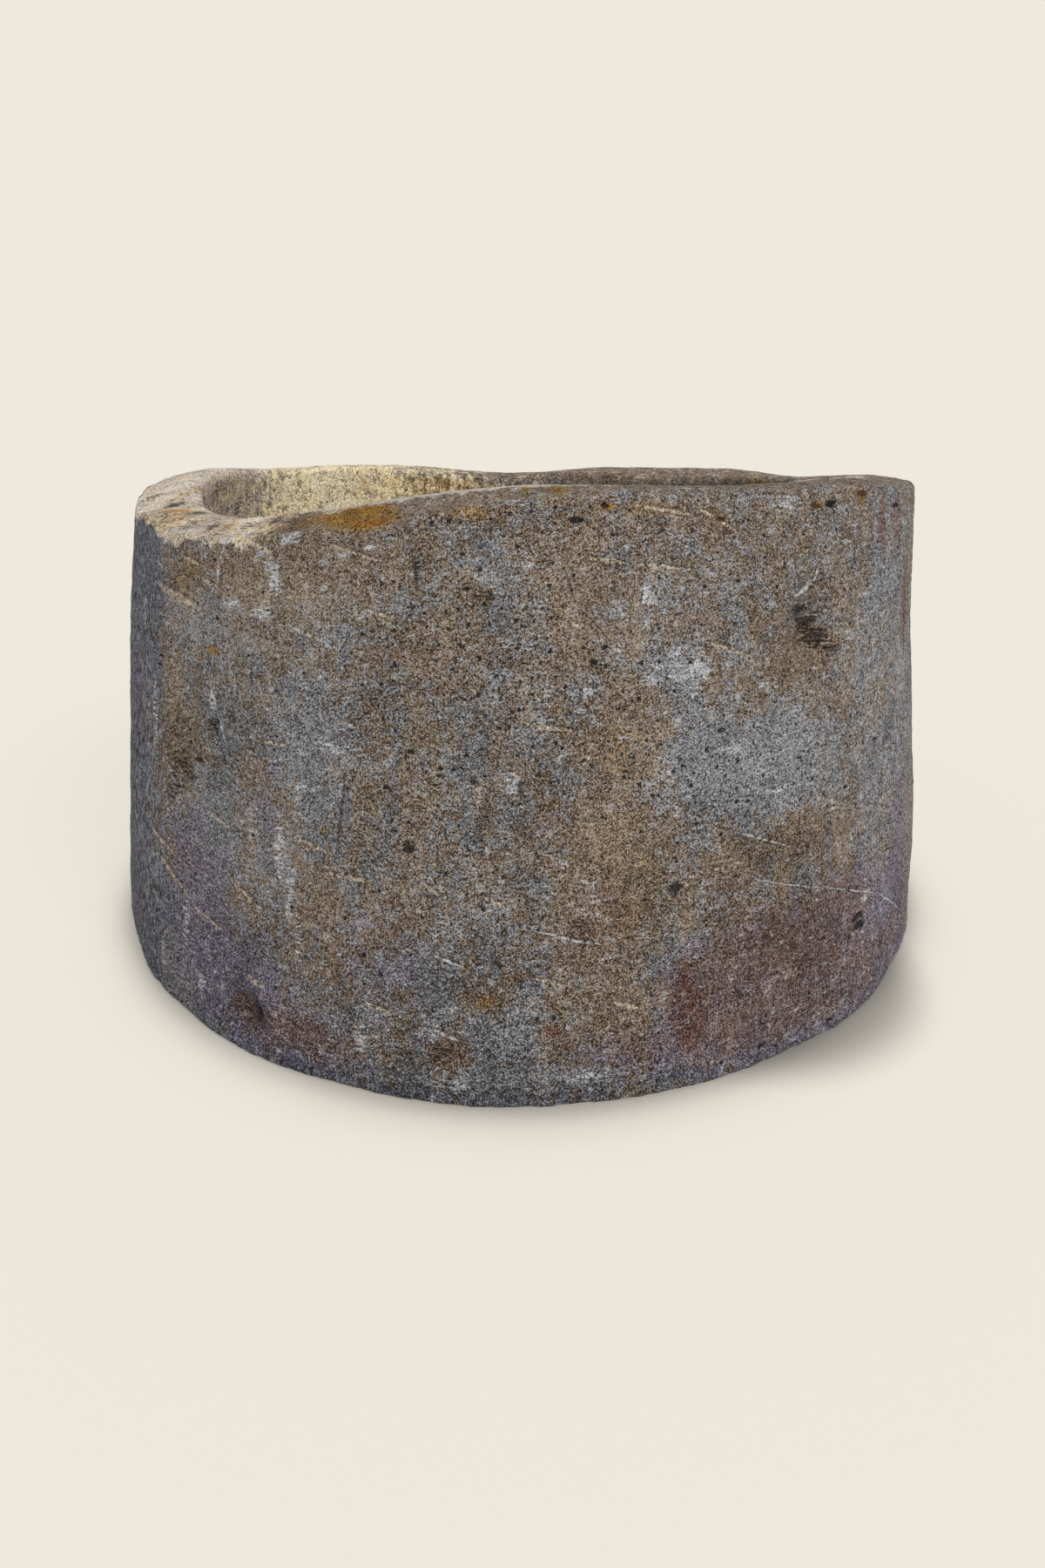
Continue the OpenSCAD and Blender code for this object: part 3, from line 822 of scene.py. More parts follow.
def paint(mesh, rng, x, y, s, z, a, stretch):
    """Keeps the stains, the worn places and the painted light and shade as attributes that the stone's
    finish reads.
    """
    wall = np.isin(stretch, OUTSIDE).astype(float)
    on_rim = np.isin(stretch, ["outer edge", "rim", "inner edge"]).astype(float)
    bowl = (stretch == "bowl").astype(float)

    def layer(table, *unseen):
        """The patches that the photograph shows, and random ones where it doesn't look."""
        return painted(s, z, front_patches(table)) + painted(s, z, unseen_patches(rng, *unseen))

    brown = 0.11 + layer(BROWN_STAINS, 34, (30, 110), (30, 120), (-0.6, 0.6))
    ochre = layer(OCHRE_STAINS, 16, (8, 50), (8, 30), (0.3, 0.9))
    plum = layer(PLUM_STAINS, 12, (40, 120), (30, 90), (0.3, 0.8))
    rust = layer(RUST_STAINS, 12, (4, 22), (8, 40), (0.4, 0.9))
    slate = layer(SLATE_STAINS_AND_SHADE, 12, (30, 90), (40, 130), (0.3, 0.8))
    dark = layer(DARK_STAINS_AND_SHADOWS, 16, (6, 18), (6, 18), (0.4, 0.9))
    pale = layer(PALE_STAINS, 40, (4, 20), (4, 30), (0.4, 1.0))
    open_grain = 0.42 + layer(PORE_STAINS, 12, (40, 90), (40, 90), (0.3, 0.8))
    tone = layer(TONE_LIGHT_AND_SHADE, 40, (12, 70), (12, 70), (-0.8, 0.8))

    # The worn side of the rim is rubbed to a cream. Behind it the left of the bowl's far side is
    # gold, partly its own colour and partly painted sunlight, and both show on the far rim
    deep = bowl * (1 - rise(z, 150, 250))
    turn = folded(a) + 50 * deep * wander(x, y, z, 90, 12)
    lit = 1 - 0.85 * deep
    worn = rise(turn, 24, 33) * (1 - rise(turn, 84, 106))
    # Where the painted sunlight falls on the far side of the bowl
    far_sunlit = rise(turn, 100, 122) * (1 - 0.5 * rise(turn, 138, 156)) * (1 - rise(turn, 160, 180))
    far_side = rise(turn, 62, 96) + rise(-turn, 150, 180)
    chips = 5 + 6 * wander_round(s, 11, 8) + 4 * wander_round(s, 4.5, 9)
    spilt = wall * (1 - rise(outer_edge(a) - z - chips, -2.5, 2.5))
    cream = np.maximum(on_rim, spilt) * worn + 0.2 * on_rim * rise(np.abs(turn), 62, 96)
    cream += 0.4 * on_rim * rise(turn, 80, 90) * (1 - rise(turn, 150, 175))
    cream += bowl * lit * far_side * (0.6 - 0.34 * rise(np.abs(turn), 135, 165))
    # Painted shade on the left of the bowl's far side, beside the painted sunlight
    in_shade = bowl * lit * rise(turn, 70, 90) * (1 - rise(turn, 100, 122))
    cream += 0.3 * in_shade
    # The bowl's own gold, with painted sunlight on it
    gold_and_sunlight = (bowl * lit + 0.8 * on_rim * (1 - wall)) * far_sunlit

    # A painted highlight, partly a worn pale band, along the front edge of the mouth
    by_mouth = (stretch == "inner edge") + on_rim * (1 - rise(np.hypot(x, y), WALL_R - 38, WALL_R - 20))
    line = by_mouth * rise(turn, -76, -46) * (1 - rise(turn, 20, 30))

    # The left of the front is a flatter face of darker, bluer stone, past a soft upright edge, and
    # painted shade on this side, which is turned from the lamp, darkens it further
    past_edge = rise(turn + 1.6 * wander(0 * s, 0 * s, z, 34, 10), 44, 49.5) * (1 - rise(turn, 80, 110))
    slate += 0.85 * past_edge
    brown -= 0.3 * past_edge
    # Painted shade, darker and bluer, on the right of the bowl's far side, turned from the lamp
    shaded_right = bowl * lit * rise(-turn, 92, 116) * (1 - rise(-turn, 132, 160))
    brown += 0.12 * bowl + 0.3 * deep - 0.5 * shaded_right

    # Painted shade darkens the wall towards the foot, and its lowest edge is less brown and bluer
    tone -= 1.0 * (1 - rise(z, 4, 90))
    brown -= 0.25 * (1 - rise(z, 3, 14))
    slate += 0.2 * (1 - rise(z, 3, 12))

    # The far left of the rim is lavender grey
    lavender = on_rim * (1 - wall) * rise(turn, 82, 96) * (1 - rise(turn, 112, 120))
    brown += 0.3 * on_rim * (1 - wall)

    def in_plan(table):
        patches = [[*patch_on_rim(*row[:4]), row[4]] for row in table]
        return on_rim * painted(x, y, patches, np.subtract)

    ochre = ochre * np.clip(wall + on_rim, 0, 1) + in_plan(RIM_OCHRE)
    # Where the painted sunlight fades, the far side turns ochre
    past_sunlit = bowl * lit * rise(turn, 132, 150) * (1 - rise(turn, 160, 180))
    ochre += 0.8 * past_sunlit
    rust = rust * wall + in_plan(RIM_RUST)
    dark = dark * wall + in_plan(RIM_DARK)
    tone = tone * wall + in_plan(RIM_TONE)
    # Painted shade on the bowl's far side, beside the painted sunlight and where it fades; the bowl is also
    # darker deeper down
    tone -= 2.0 * in_shade + 0.8 * shaded_right + 0.5 * past_sunlit + 0.4 * deep
    for name, channels in {
        "stain": [brown, ochre, plum * wall],
        "tarnish_and_shade": [rust, slate * wall + lavender + 0.6 * shaded_right, dark],
        "bare_and_sunlit": [np.clip(1.3 * pale, 0, 1) * wall, cream, gold_and_sunlight],
        "pores_tone_and_light": [open_grain * wall + 0.4 * (1 - wall), tone, line],
    }.items():
        keep(mesh, name, "POINT", np.stack(channels, 1))


# Finishes

# The stone's colours, from its darkest grains to its lightest: [(share of the way, linear colour)]
GREY_GRAIN = [
    (0.05, (0.018, 0.018, 0.021)), (0.3, (0.072, 0.072, 0.077)), (0.5, (0.157, 0.157, 0.164)),
    (0.7, (0.27, 0.27, 0.277)), (0.98, (0.52, 0.515, 0.52)),
]
BROWN_GRAIN = [
    (0.05, (0.016, 0.009, 0.005)), (0.3, (0.074, 0.044, 0.026)), (0.5, (0.158, 0.104, 0.064)),
    (0.7, (0.266, 0.193, 0.133)), (0.98, (0.48, 0.41, 0.32)),
]
OCHRE_GRAIN = [
    (0.05, (0.033, 0.012, 0.002)), (0.3, (0.106, 0.044, 0.006)), (0.5, (0.205, 0.098, 0.015)),
    (0.7, (0.34, 0.172, 0.022)), (0.98, (0.56, 0.34, 0.08)),
]
RUBBED_CREAM = [
    (0.0, (0.1, 0.075, 0.05)), (0.3, (0.39, 0.31, 0.225)), (0.55, (0.73, 0.62, 0.5)),
    (0.8, (0.9, 0.83, 0.75)), (1.0, (0.94, 0.9, 0.85)),
]
RUBBED_TAWNY = [
    (0.0, (0.09, 0.045, 0.018)), (0.3, (0.3, 0.19, 0.085)), (0.55, (0.55, 0.4, 0.225)),
    (1.0, (0.86, 0.74, 0.54)),
]
# Painted sunlight on the gold of the bowl's far side, in two hues
SUNLIT_GOLD = [
    (0.0, (0.2, 0.11, 0.04)), (0.2, (0.68, 0.47, 0.21)), (0.4, (1.0, 0.88, 0.57)),
    (0.75, (1.0, 0.96, 0.76)), (1.0, (1.0, 0.98, 0.9)),
]
SUNLIT_AMBER = [
    (0.0, (0.15, 0.07, 0.02)), (0.25, (0.55, 0.34, 0.12)), (0.5, (1.0, 0.73, 0.37)),
    (1.0, (1.0, 0.93, 0.66)),
]
CHALK = [
    (0.0, (0.11, 0.11, 0.12)), (0.45, (0.36, 0.365, 0.38)), (0.75, (0.68, 0.685, 0.7)),
    (1.0, (0.88, 0.88, 0.89)),
]
CHISELLED = [
    (0.0, (0.17, 0.12, 0.07)), (0.5, (0.54, 0.42, 0.28)), (1.0, (0.86, 0.76, 0.6)),
]


class Finish:
    """A material or a world in the making. Each call adds a node and gives its output."""

    def __init__(self, owner):
        self.owner = owner
        owner.use_nodes = True
        self.tree = owner.node_tree
        self.tree.nodes.clear()

    def node(self, kind, inputs, output=0, **settings):
        node = self.tree.nodes.new(kind)
        for key, value in settings.items():
            setattr(node, key, value)
        for key, value in inputs.items():
            if isinstance(value, bpy.types.NodeSocket):
                self.tree.links.new(value, node.inputs[key])
            else:
                node.inputs[key].default_value = value
        return node.outputs[output] if len(node.outputs) else None

    def place(self):
        """The place on the object, in metres."""
        return self.node("ShaderNodeTexCoord", {}, "Object")

    def attribute(self, name):
        """The three numbers that the mesh keeps under this name."""
        return self.split(self.node("ShaderNodeAttribute", {}, "Vector", attribute_name=name))

    def split(self, vector):
        node = self.tree.nodes.new("ShaderNodeSeparateXYZ")
        self.tree.links.new(vector, node.inputs[0])
        return list(node.outputs)

    def math(self, operation, a, b=0.0):
        return self.node("ShaderNodeMath", {0: a, 1: b}, operation=operation)

    def add(self, first, *others):
        for other in others:
            first = self.math("ADD", first, other)
        return first

    def times(self, first, *others):
        for other in others:
            first = self.math("MULTIPLY", first, other)
        return first

    def less(self, a, b):
        return self.math("SUBTRACT", a, b)

    def scaled(self, vector, scale):
        return self.node("ShaderNodeVectorMath", {0: vector, 1: scale}, operation="MULTIPLY")

    def moved(self, vector, by):
        return self.node("ShaderNodeVectorMath", {0: vector, 1: by}, operation="ADD")

    def noise(self, place, size, detail=2.0, roughness=0.5):
        """Noise with features this many millimetres across."""
        inputs = {"Vector": place, "Scale": 1 / (size * MM), "Detail": detail, "Roughness": roughness}
        return self.node("ShaderNodeTexNoise", inputs)

    def pattern(self, place, size, detail=2.0, roughness=0.6):
        """Noise stretched to run from 0 to 1."""
        return self.between(self.noise(place, size, detail, roughness), 0.33, 0.67)

    def cells(self, place, size, output="Color", dimensions="3D"):
        """Cells this many millimetres across."""
        inputs = {"Vector": place, "Scale": 1 / (size * MM)}
        return self.node("ShaderNodeTexVoronoi", inputs, output, voronoi_dimensions=dimensions)

    def between(self, value, low, high, to_low=0.0, to_high=1.0):
        """0 below low and 1 above high, with a smooth rise between, or other ends."""
        inputs = {"Value": value, "From Min": low, "From Max": high, "To Min": to_low, "To Max": to_high}
        return self.node("ShaderNodeMapRange", inputs, interpolation_type="SMOOTHSTEP")

    def ramp(self, value, stops):
        node = self.tree.nodes.new("ShaderNodeValToRGB")
        elements = node.color_ramp.elements
        while len(elements) < len(stops):
            elements.new(0.5)
        for element, (at, color) in zip(elements, stops):
            element.position = at
            element.color = (*color, 1)
        self.tree.links.new(value, node.inputs[0])
        return node.outputs[0]

    def mix(self, share, a, b, blend="MIX"):
        inputs = {0: share, 6: self.color(a), 7: self.color(b)}
        return self.node("ShaderNodeMix", inputs, 2, data_type="RGBA", blend_type=blend)

    def color(self, value):
        return (*value, 1) if isinstance(value, tuple) else value

    def seen(self):
        """1 for what the camera sees, also through glass or in a mirror, and 0 for what lights the rest."""
        path = self.tree.nodes.new("ShaderNodeLightPath").outputs
        straight = self.math("MAXIMUM", path["Is Camera Ray"], path["Is Glossy Ray"])
        return self.math("MAXIMUM", straight, path["Is Transmission Ray"])

    def finish(self, color, roughness, height, specular):
        """Ends the material. height is the relief in metres."""
        bump = self.node("ShaderNodeBump", {"Height": height, "Strength": 1.0, "Distance": 1.0})
        surface = {"Base Color": color, "Roughness": roughness, "Specular IOR Level": specular}
        shader = self.node("ShaderNodeBsdfPrincipled", {**surface, "Normal": bump})
        self.node("ShaderNodeOutputMaterial", {"Surface": shader})
        return self.owner


def weathered_stone():
    """Coarse grey and brown grains, stained, scuffed, scored and pitted, with painted sunlight, highlight
    and shade.
    """
    f = Finish(bpy.data.materials.new("weathered_stone"))
    here = f.place()
    skin = f.node("ShaderNodeUVMap", {}, uv_map="skin")
    brown, ochre, plum = f.attribute("stain")
    rust, slate, dark = f.attribute("tarnish_and_shade")
    pale, cream, gold_and_sunlight = f.attribute("bare_and_sunlit")
    open_grain, tone, line = f.attribute("pores_tone_and_light")
    chisel_along, chisel_across, chisel_tone = f.attribute("chisel")
    pore_x, pore_y, pore_tone = f.attribute("pore")

    # Patterns of several sizes, from grains to clouds
    around_corner = f.between(f.math("ABSOLUTE", f.split(skin)[0]), 0.11, 0.26)
    fine = f.pattern(here, 0.30, 0)
    speck = f.pattern(here, 0.62, 1)
    pebble = f.pattern(here, 1.5, 2)
    crumb = f.pattern(here, 3.2, 3)
    blotch = f.pattern(here, 11, 4)
    cloud = f.pattern(here, 46, 4)
    run = f.pattern(f.scaled(skin, (1, 0.14, 1)), 7, 4)
    washed = f.pattern(f.scaled(skin, (1, 0.22, 1)), 24, 5)
    bloom = f.pattern(f.moved(here, (0.4, 0.1, 0.7)), 16, 5)
    brushed = f.pattern(f.scaled(skin, (0.26, 1, 1)), 2.2, 4, 0.7)
    grain_r, grain_g, grain_b = f.split(f.cells(here, 0.55))
    chip = f.split(f.cells(here, 1.1))[0]
    ledge = f.noise(f.scaled(skin, (0.42, 1, 1)), 13, 5, 0.62)
    patchy = f.noise(here, 30, 2, 0.5)
    ledge = f.times(f.between(ledge, 0.485, 0.53), f.between(patchy, 0.42, 0.58))

    def around(pattern, share):
        return f.times(f.less(pattern, 0.5), share)

    def summed(total, *parts):
        for pattern, weight in parts:
            total = f.add(total, around(pattern, weight))
        return total

    def kept_to(share, from_share, whole_share, total, low, high):
        """The ragged patches of a total, kept to where the stone has some share of a stain."""
        return f.times(f.between(total, low, high), f.between(share, from_share, whole_share))

    # The value of each grain, from 0 to 1, shifted by the tone, which holds painted light and shade too
    value = summed(
        f.add(0.5, f.times(tone, 0.10)),
        (grain_r, 0.96), (fine, 0.48), (speck, 0.24), (pebble, 0.04), (crumb, 0.07), (brushed, 0.09),
        (blotch, 0.13), (cloud, 0.12), (run, 0.04), (bloom, 0.09), (washed, 0.08),
    )
    fleck = f.pattern(f.scaled(skin, (1, 0.35, 1)), 2.4, 3)
    value = f.add(value, f.times(around(fleck, 0.5), slate), f.times(around(chip, 0.6), around_corner))
    grey = f.ramp(value, GREY_GRAIN)
    tan = f.ramp(value, BROWN_GRAIN)
    share = summed(
        0.0, (crumb, -0.52), (blotch, -0.20), (bloom, 0.42), (washed, 0.40), (run, 0.14), (brushed, -0.26),
    )
    calm = f.between(plum, 0.1, 0.8, 1.0, 0.45)
    share = f.add(brown, f.times(share, calm))
    is_brown = f.between(f.less(share, f.times(grain_g, 0.12)), -0.35, 0.31)
    color = f.mix(is_brown, grey, tan)

    # Ochre where iron has bled out
    ochre_share = f.less(f.times(ochre, summed(1.0, (blotch, 0.6), (crumb, 0.8))), f.times(grain_g, 0.12))
    yellow = f.ramp(value, OCHRE_GRAIN)
    is_ochre = f.between(ochre_share, 0.0, 0.85)
    color = f.mix(is_ochre, color, yellow)

    # Stains that darken what is under them
    def stained(color, share, tint):
        ragged = kept_to(share, 0.0, 0.2, summed(share, (blotch, 0.28), (crumb, 0.14)), 0.05, 0.7)
        return f.mix(ragged, color, f.mix(1.0, color, tint, "MULTIPLY"))

    color = stained(color, plum, (0.86, 0.77, 0.93))
    color = stained(color, rust, (0.84, 0.60, 0.54))
    color = stained(color, slate, (0.74, 0.77, 0.90))

    # Cream and ochre where the rim is rubbed, and gold with painted sunlight on the bowl's far side
    laid = f.scaled(here, (1, 0.32, 1))
    lump = f.pattern(laid, 2.0, 2)
    patch = f.pattern(laid, 5.5, 3)
    drawn = {"Vector": f.scaled(skin, (1, 0.3, 1)), "Rotation": (0, 0, 0.5)}
    streak = f.pattern(f.node("ShaderNodeMapping", drawn), 7, 3)
    coarse = summed(value, (blotch, 0.30), (streak, 0.12), (grain_r, -0.2))
    lumpy = f.between(gold_and_sunlight, 0.0, 0.4, 0.6, 1.4)
    coarse = f.add(coarse, f.times(summed(0.0, (lump, 0.36), (patch, 0.36)), lumpy))
    rubbed = f.ramp(coarse, RUBBED_CREAM)
    tawny = f.ramp(coarse, RUBBED_TAWNY)
    tawny_share = summed(f.times(ochre, 0.5), (blotch, 0.6), (patch, 0.7))
    rubbed = f.mix(f.between(tawny_share, -0.1, 0.4), rubbed, tawny)
    rub = f.less(summed(cream, (blotch, 0.35), (crumb, 0.35)), f.times(grain_b, 0.12))
    color = f.mix(kept_to(cream, 0.03, 0.25, rub, 0.1, 0.6), color, rubbed)
    # Painted sunlight over the gold of the bowl's far side
    sunny = f.ramp(coarse, SUNLIT_GOLD)
    amber = f.ramp(coarse, SUNLIT_AMBER)
    is_amber = summed(f.add(0.42, f.times(ochre, 0.45)), (blotch, 0.6), (patch, 0.6))
    sunny = f.mix(f.between(is_amber, 0.3, 0.7), sunny, amber)
    glow = f.less(summed(gold_and_sunlight, (blotch, 0.45), (run, 0.35), (crumb, 0.2)), f.times(grain_b, 0.1))
    color = f.mix(kept_to(gold_and_sunlight, 0.03, 0.25, glow, 0.05, 0.8), color, sunny)
    chalky = f.ramp(value, CHALK)
    # The painted highlight, partly a worn pale band, along the front edge of the mouth
    worn_and_lit_line = f.between(summed(line, (crumb, 0.3), (patch, 0.3), (grain_b, 0.2)), 0.2, 0.42)
    worn_and_lit_color = f.mix(0.5, f.mix(0.5, (0.6, 0.59, 0.57), chalky), rubbed)
    color = f.mix(f.times(worn_and_lit_line, 0.95), color, worn_and_lit_color)
    color = stained(color, f.times(cream, rust), (0.95, 0.66, 0.40))

    # Scuffs and lime, brushed out level
    stroke = f.pattern(f.scaled(skin, (0.2, 1, 1)), 1.7, 3, 0.6)
    scuff = summed(pale, (stroke, 1.1), (crumb, 0.3), (grain_b, -0.4))
    scuff = kept_to(pale, 0.03, 0.2, scuff, 0.2, 0.68)
    thin = f.between(summed(0.5, (f.pattern(here, 8, 3), 0.7), (brushed, 0.5)), 0.8, 1.05)
    thin = f.times(thin, f.less(1.0, f.between(cream, 0.1, 0.4)), f.less(1.0, is_ochre))
    color = f.mix(f.times(scuff, 0.85), color, chalky)
    color = f.mix(f.times(thin, 0.45), color, chalky)

    # Smears and fine scratches that lean down to the right, from the dressing
    leaning = f.node("ShaderNodeMapping", {"Vector": skin, "Rotation": (0, 0, math.radians(-28))})
    scratch = f.noise(f.scaled(leaning, (0.07, 1, 1)), 1.1, 2, 0.5)
    scratch = f.times(f.between(scratch, 0.66, 0.74), f.between(patchy, 0.5, 0.62))
    color = f.mix(f.times(scratch, 0.5), color, (0.38, 0.33, 0.25))

    # Chisel marks, narrowing to their ends, with a painted shadow beside the light ones
    shaky = f.noise(here, 1.6, 2, 0.6)
    bend = f.noise(here, 8, 2, 0.5)
    across = f.add(chisel_across, around(bend, 2.0), around(shaky, 1.6))
    narrow = f.less(1.15, f.times(chisel_along, chisel_along))
    across = f.math("DIVIDE", across, f.math("MAXIMUM", narrow, 0.1))
    ends = f.between(f.math("ABSOLUTE", chisel_along), 0.72, 1.04, 1.0, 0.0)
    cut = f.times(f.between(f.math("ABSOLUTE", across), 0.4, 1.2, 1.0, 0.0), ends)
    # A painted shadow along one side of each light mark
    under = f.times(f.between(f.math("ABSOLUTE", f.add(across, 1.5)), 0.1, 0.9, 1.0, 0.0), ends)
    is_cut = f.between(chisel_tone, 0.4, 0.6)
    is_shade = f.between(chisel_tone, 2.4, 2.6)
    is_light = f.times(is_cut, f.less(1.0, is_shade))
    scored = f.ramp(value, CHISELLED)
    fresh = f.mix(f.between(chisel_tone, 1.4, 1.6), scored, f.mix(0.4, (0.72, 0.71, 0.68), chalky))
    worn_off = f.between(summed(0.5, (crumb, 0.6), (pebble, 0.5)), 0.2, 0.52)
    color = f.mix(f.times(cut, is_light, worn_off, 0.84), color, fresh)
    color = f.mix(f.times(under, is_light, 0.35), color, (0.05, 0.042, 0.038))
    color = f.mix(f.times(cut, is_shade, 0.7), color, (0.05, 0.042, 0.04))

    # Dark stains, and painted shadow in the hollows, ridged by the chisel
    ridge = f.pattern(f.scaled(skin, (0.22, 1, 1)), 1.5, 2)
    gloom = kept_to(dark, 0.03, 0.2, summed(dark, (crumb, 0.4), (ridge, 1.1)), 0.15, 0.7)
    color = f.mix(f.times(gloom, 0.9), color, f.mix(1.0, color, (0.17, 0.15, 0.145), "MULTIPLY"))

    # Open pores: the placed ones, and small ones scattered by the stone's own pattern
    ragged_x = f.times(f.add(pore_x, around(shaky, 0.9)), 0.88)
    ragged_y = f.times(f.add(pore_y, around(speck, 0.4)), 1.5)
    far = f.math("SQRT", f.add(f.times(ragged_x, ragged_x), f.times(ragged_y, ragged_y)))
    hole = f.times(f.between(far, 0.72, 0.95, 1.0, 0.0), f.between(pore_tone, 0.4, 0.6))
    hole_color = f.mix(f.between(pore_tone, 1.4, 1.6), (0.014, 0.012, 0.011), (0.07, 0.031, 0.010))
    color = f.mix(f.times(hole, 0.94), color, hole_color)

    def pits(color, spacing, least, most, share):
        far = f.cells(skin, spacing, "Distance", "2D")
        kind = f.split(f.cells(skin, spacing, "Color", "2D"))
        size = f.add(least / spacing, f.times(f.math("POWER", kind[1], 2.5), (most - least) / spacing))
        size = f.times(size, f.between(f.less(share, kind[0]), 0.0, 0.05))
        ragged = f.add(far, around(speck, 0.7 / spacing), around(fine, 0.2 / spacing))
        pit = f.between(f.less(size, ragged), -0.1 / spacing, 0.12 / spacing)
        return f.mix(f.times(pit, 0.94), color, (0.012, 0.010, 0.009)), pit

    color, pit = pits(color, 9.0, 0.45, 1.35, f.times(open_grain, 0.7))
    color, pinprick = pits(color, 3.8, 0.36, 0.8, open_grain)

    # Relief in metres
    height = summed(
        0.0, (grain_r, 0.00012), (fine, 0.00012), (speck, 0.00015), (pebble, 0.0002), (crumb, 0.0003),
        (brushed, 0.00015), (blotch, 0.0006),
    )
    height = f.add(height, f.times(ledge, 0.0007), f.times(gloom, around(ridge, -0.0016)))
    sunk = f.add(f.times(cut, is_cut, 0.0004), f.times(f.add(pit, pinprick), 0.0006), f.times(hole, 0.0010))
    roughness = f.between(value, 0.0, 1.0, 0.96, 0.82)
    return f.finish(color, roughness, f.less(height, sunk), 0.2)


def bung_rubber():
    """Black rubber with a fine moulded grain, dusty where water has dried on it."""
    f = Finish(bpy.data.materials.new("moulded_rubber"))
    here = f.place()
    pebble = f.cells(here, 0.5, "Distance")
    film = f.noise(here, 9, 5, 0.7)
    dust = f.noise(here, 0.6, 2, 0.6)
    settled = f.times(f.between(film, 0.42, 0.68), f.between(dust, 0.35, 0.7))
    color = f.mix(f.times(settled, 0.5), (0.03, 0.029, 0.028), (0.17, 0.155, 0.135))
    height = f.add(f.times(pebble, -0.00006), f.times(dust, 0.00003))
    return f.finish(color, f.between(settled, 0.0, 1.0, 0.5, 0.85), height, 0.4)


def plain_floor(light):
    """The pale floor. What is seen of it is the photograph's background, shaded close round the block.

    It lights the block as a plain light grey, which doesn't tint the stone.
    """
    f = Finish(bpy.data.materials.new("pale_floor"))
    leaning = f.node("ShaderNodeVectorMath", {0: SHADE_LEAN}, operation="NORMALIZE")
    open_share = f.node(
        "ShaderNodeAmbientOcclusion", {"Normal": leaning, "Distance": SHADE_REACH * MM}, "AO", samples=16
    )
    shut = f.math("MINIMUM", f.times(f.less(1.0, open_share), 1.8), 1.0)
    wide = f.times(f.math("POWER", shut, 1.6), 0.06)
    close = f.times(f.math("POWER", shut, 5.0), 0.55)
    ends = {0: f.place(), 1: tuple(c * MM for c in CAST_AT)}
    from_cast = f.node("ShaderNodeVectorMath", ends, "Value", operation="DISTANCE")
    cast = f.between(from_cast, CAST_FADE[0] * MM, CAST_FADE[1] * MM, 0.60, 0.0)
    lit = f.times(f.less(f.less(1.0, wide), close), f.less(1.0, cast))
    shaded = f.mix(1.0, BACKGROUND, f.node("ShaderNodeCombineColor", {0: lit, 1: lit, 2: lit}), "MULTIPLY")
    glow = f.node("ShaderNodeEmission", {"Color": shaded})
    lamp_lit = f.node("ShaderNodeBsdfDiffuse", {"Color": (*(c / light for c in BACKGROUND), 1)})
    look = f.node("ShaderNodeMixShader", {0: 0.15, 1: glow, 2: lamp_lit})
    plain = f.node("ShaderNodeBsdfDiffuse", {"Color": (0.78, 0.78, 0.78, 1)})
    floor = f.node("ShaderNodeMixShader", {0: f.seen(), 1: plain, 2: look})
    f.node("ShaderNodeOutputMaterial", {"Surface": floor})
    return f.owner


# The bung

# As the part's source has it
LID_R = 32.0
LID_T = 6.0
BUNG_GAP = 0.3
PLUG_DEPTH = 20.0
PLUG_TAPER = 1.6
NECK_R = 7.5
NECK_H = 9.0
KNOB_R = 13.5
KNOB_H = 11.0
# The hollow under the plug: the wall left round it, and its depth
PLUG_WALL = 8.0
PLUG_HOLLOW = 3.0
# The dished ring on the lid: the borders left outside it and at the neck, and its depth
LID_BORDER = 3.0
LID_DISH = 0.8
# The knob's crown: the share of the knob's height below its shoulder, how much narrower it is
# there, and the low boss on top
KNOB_SHOULDER = 0.6
KNOB_DRAW = 0.72
BOSS_BORDER = 3.5
BOSS_H = 0.4
# Width of the softened edges
BUNG_EDGE = 1.1


def select_faces(obj, test):
    """Selects the faces whose middle and normal pass the test, in edit mode, and nothing else."""
    bpy.ops.mesh.select_all(action="DESELECT")
    skin = bmesh.from_edit_mesh(obj.data)
    for face in skin.faces:
        face.select = test(face.calc_center_median() / MM, face.normal)
    skin.select_flush(True)
    bmesh.update_edit_mesh(obj.data)


def highest(obj):
    skin = bmesh.from_edit_mesh(obj.data)
    return max(vertex.co.z for vertex in skin.verts) / MM


def scale_selected(share):
    bpy.ops.transform.resize(value=(share, share, 1))


def inset(border):
    bpy.ops.mesh.inset(thickness=border * MM)


def extrude_up(height=0.0):
    bpy.ops.mesh.extrude_region_move(TRANSFORM_OT_translate={"value": (0, 0, height * MM)})


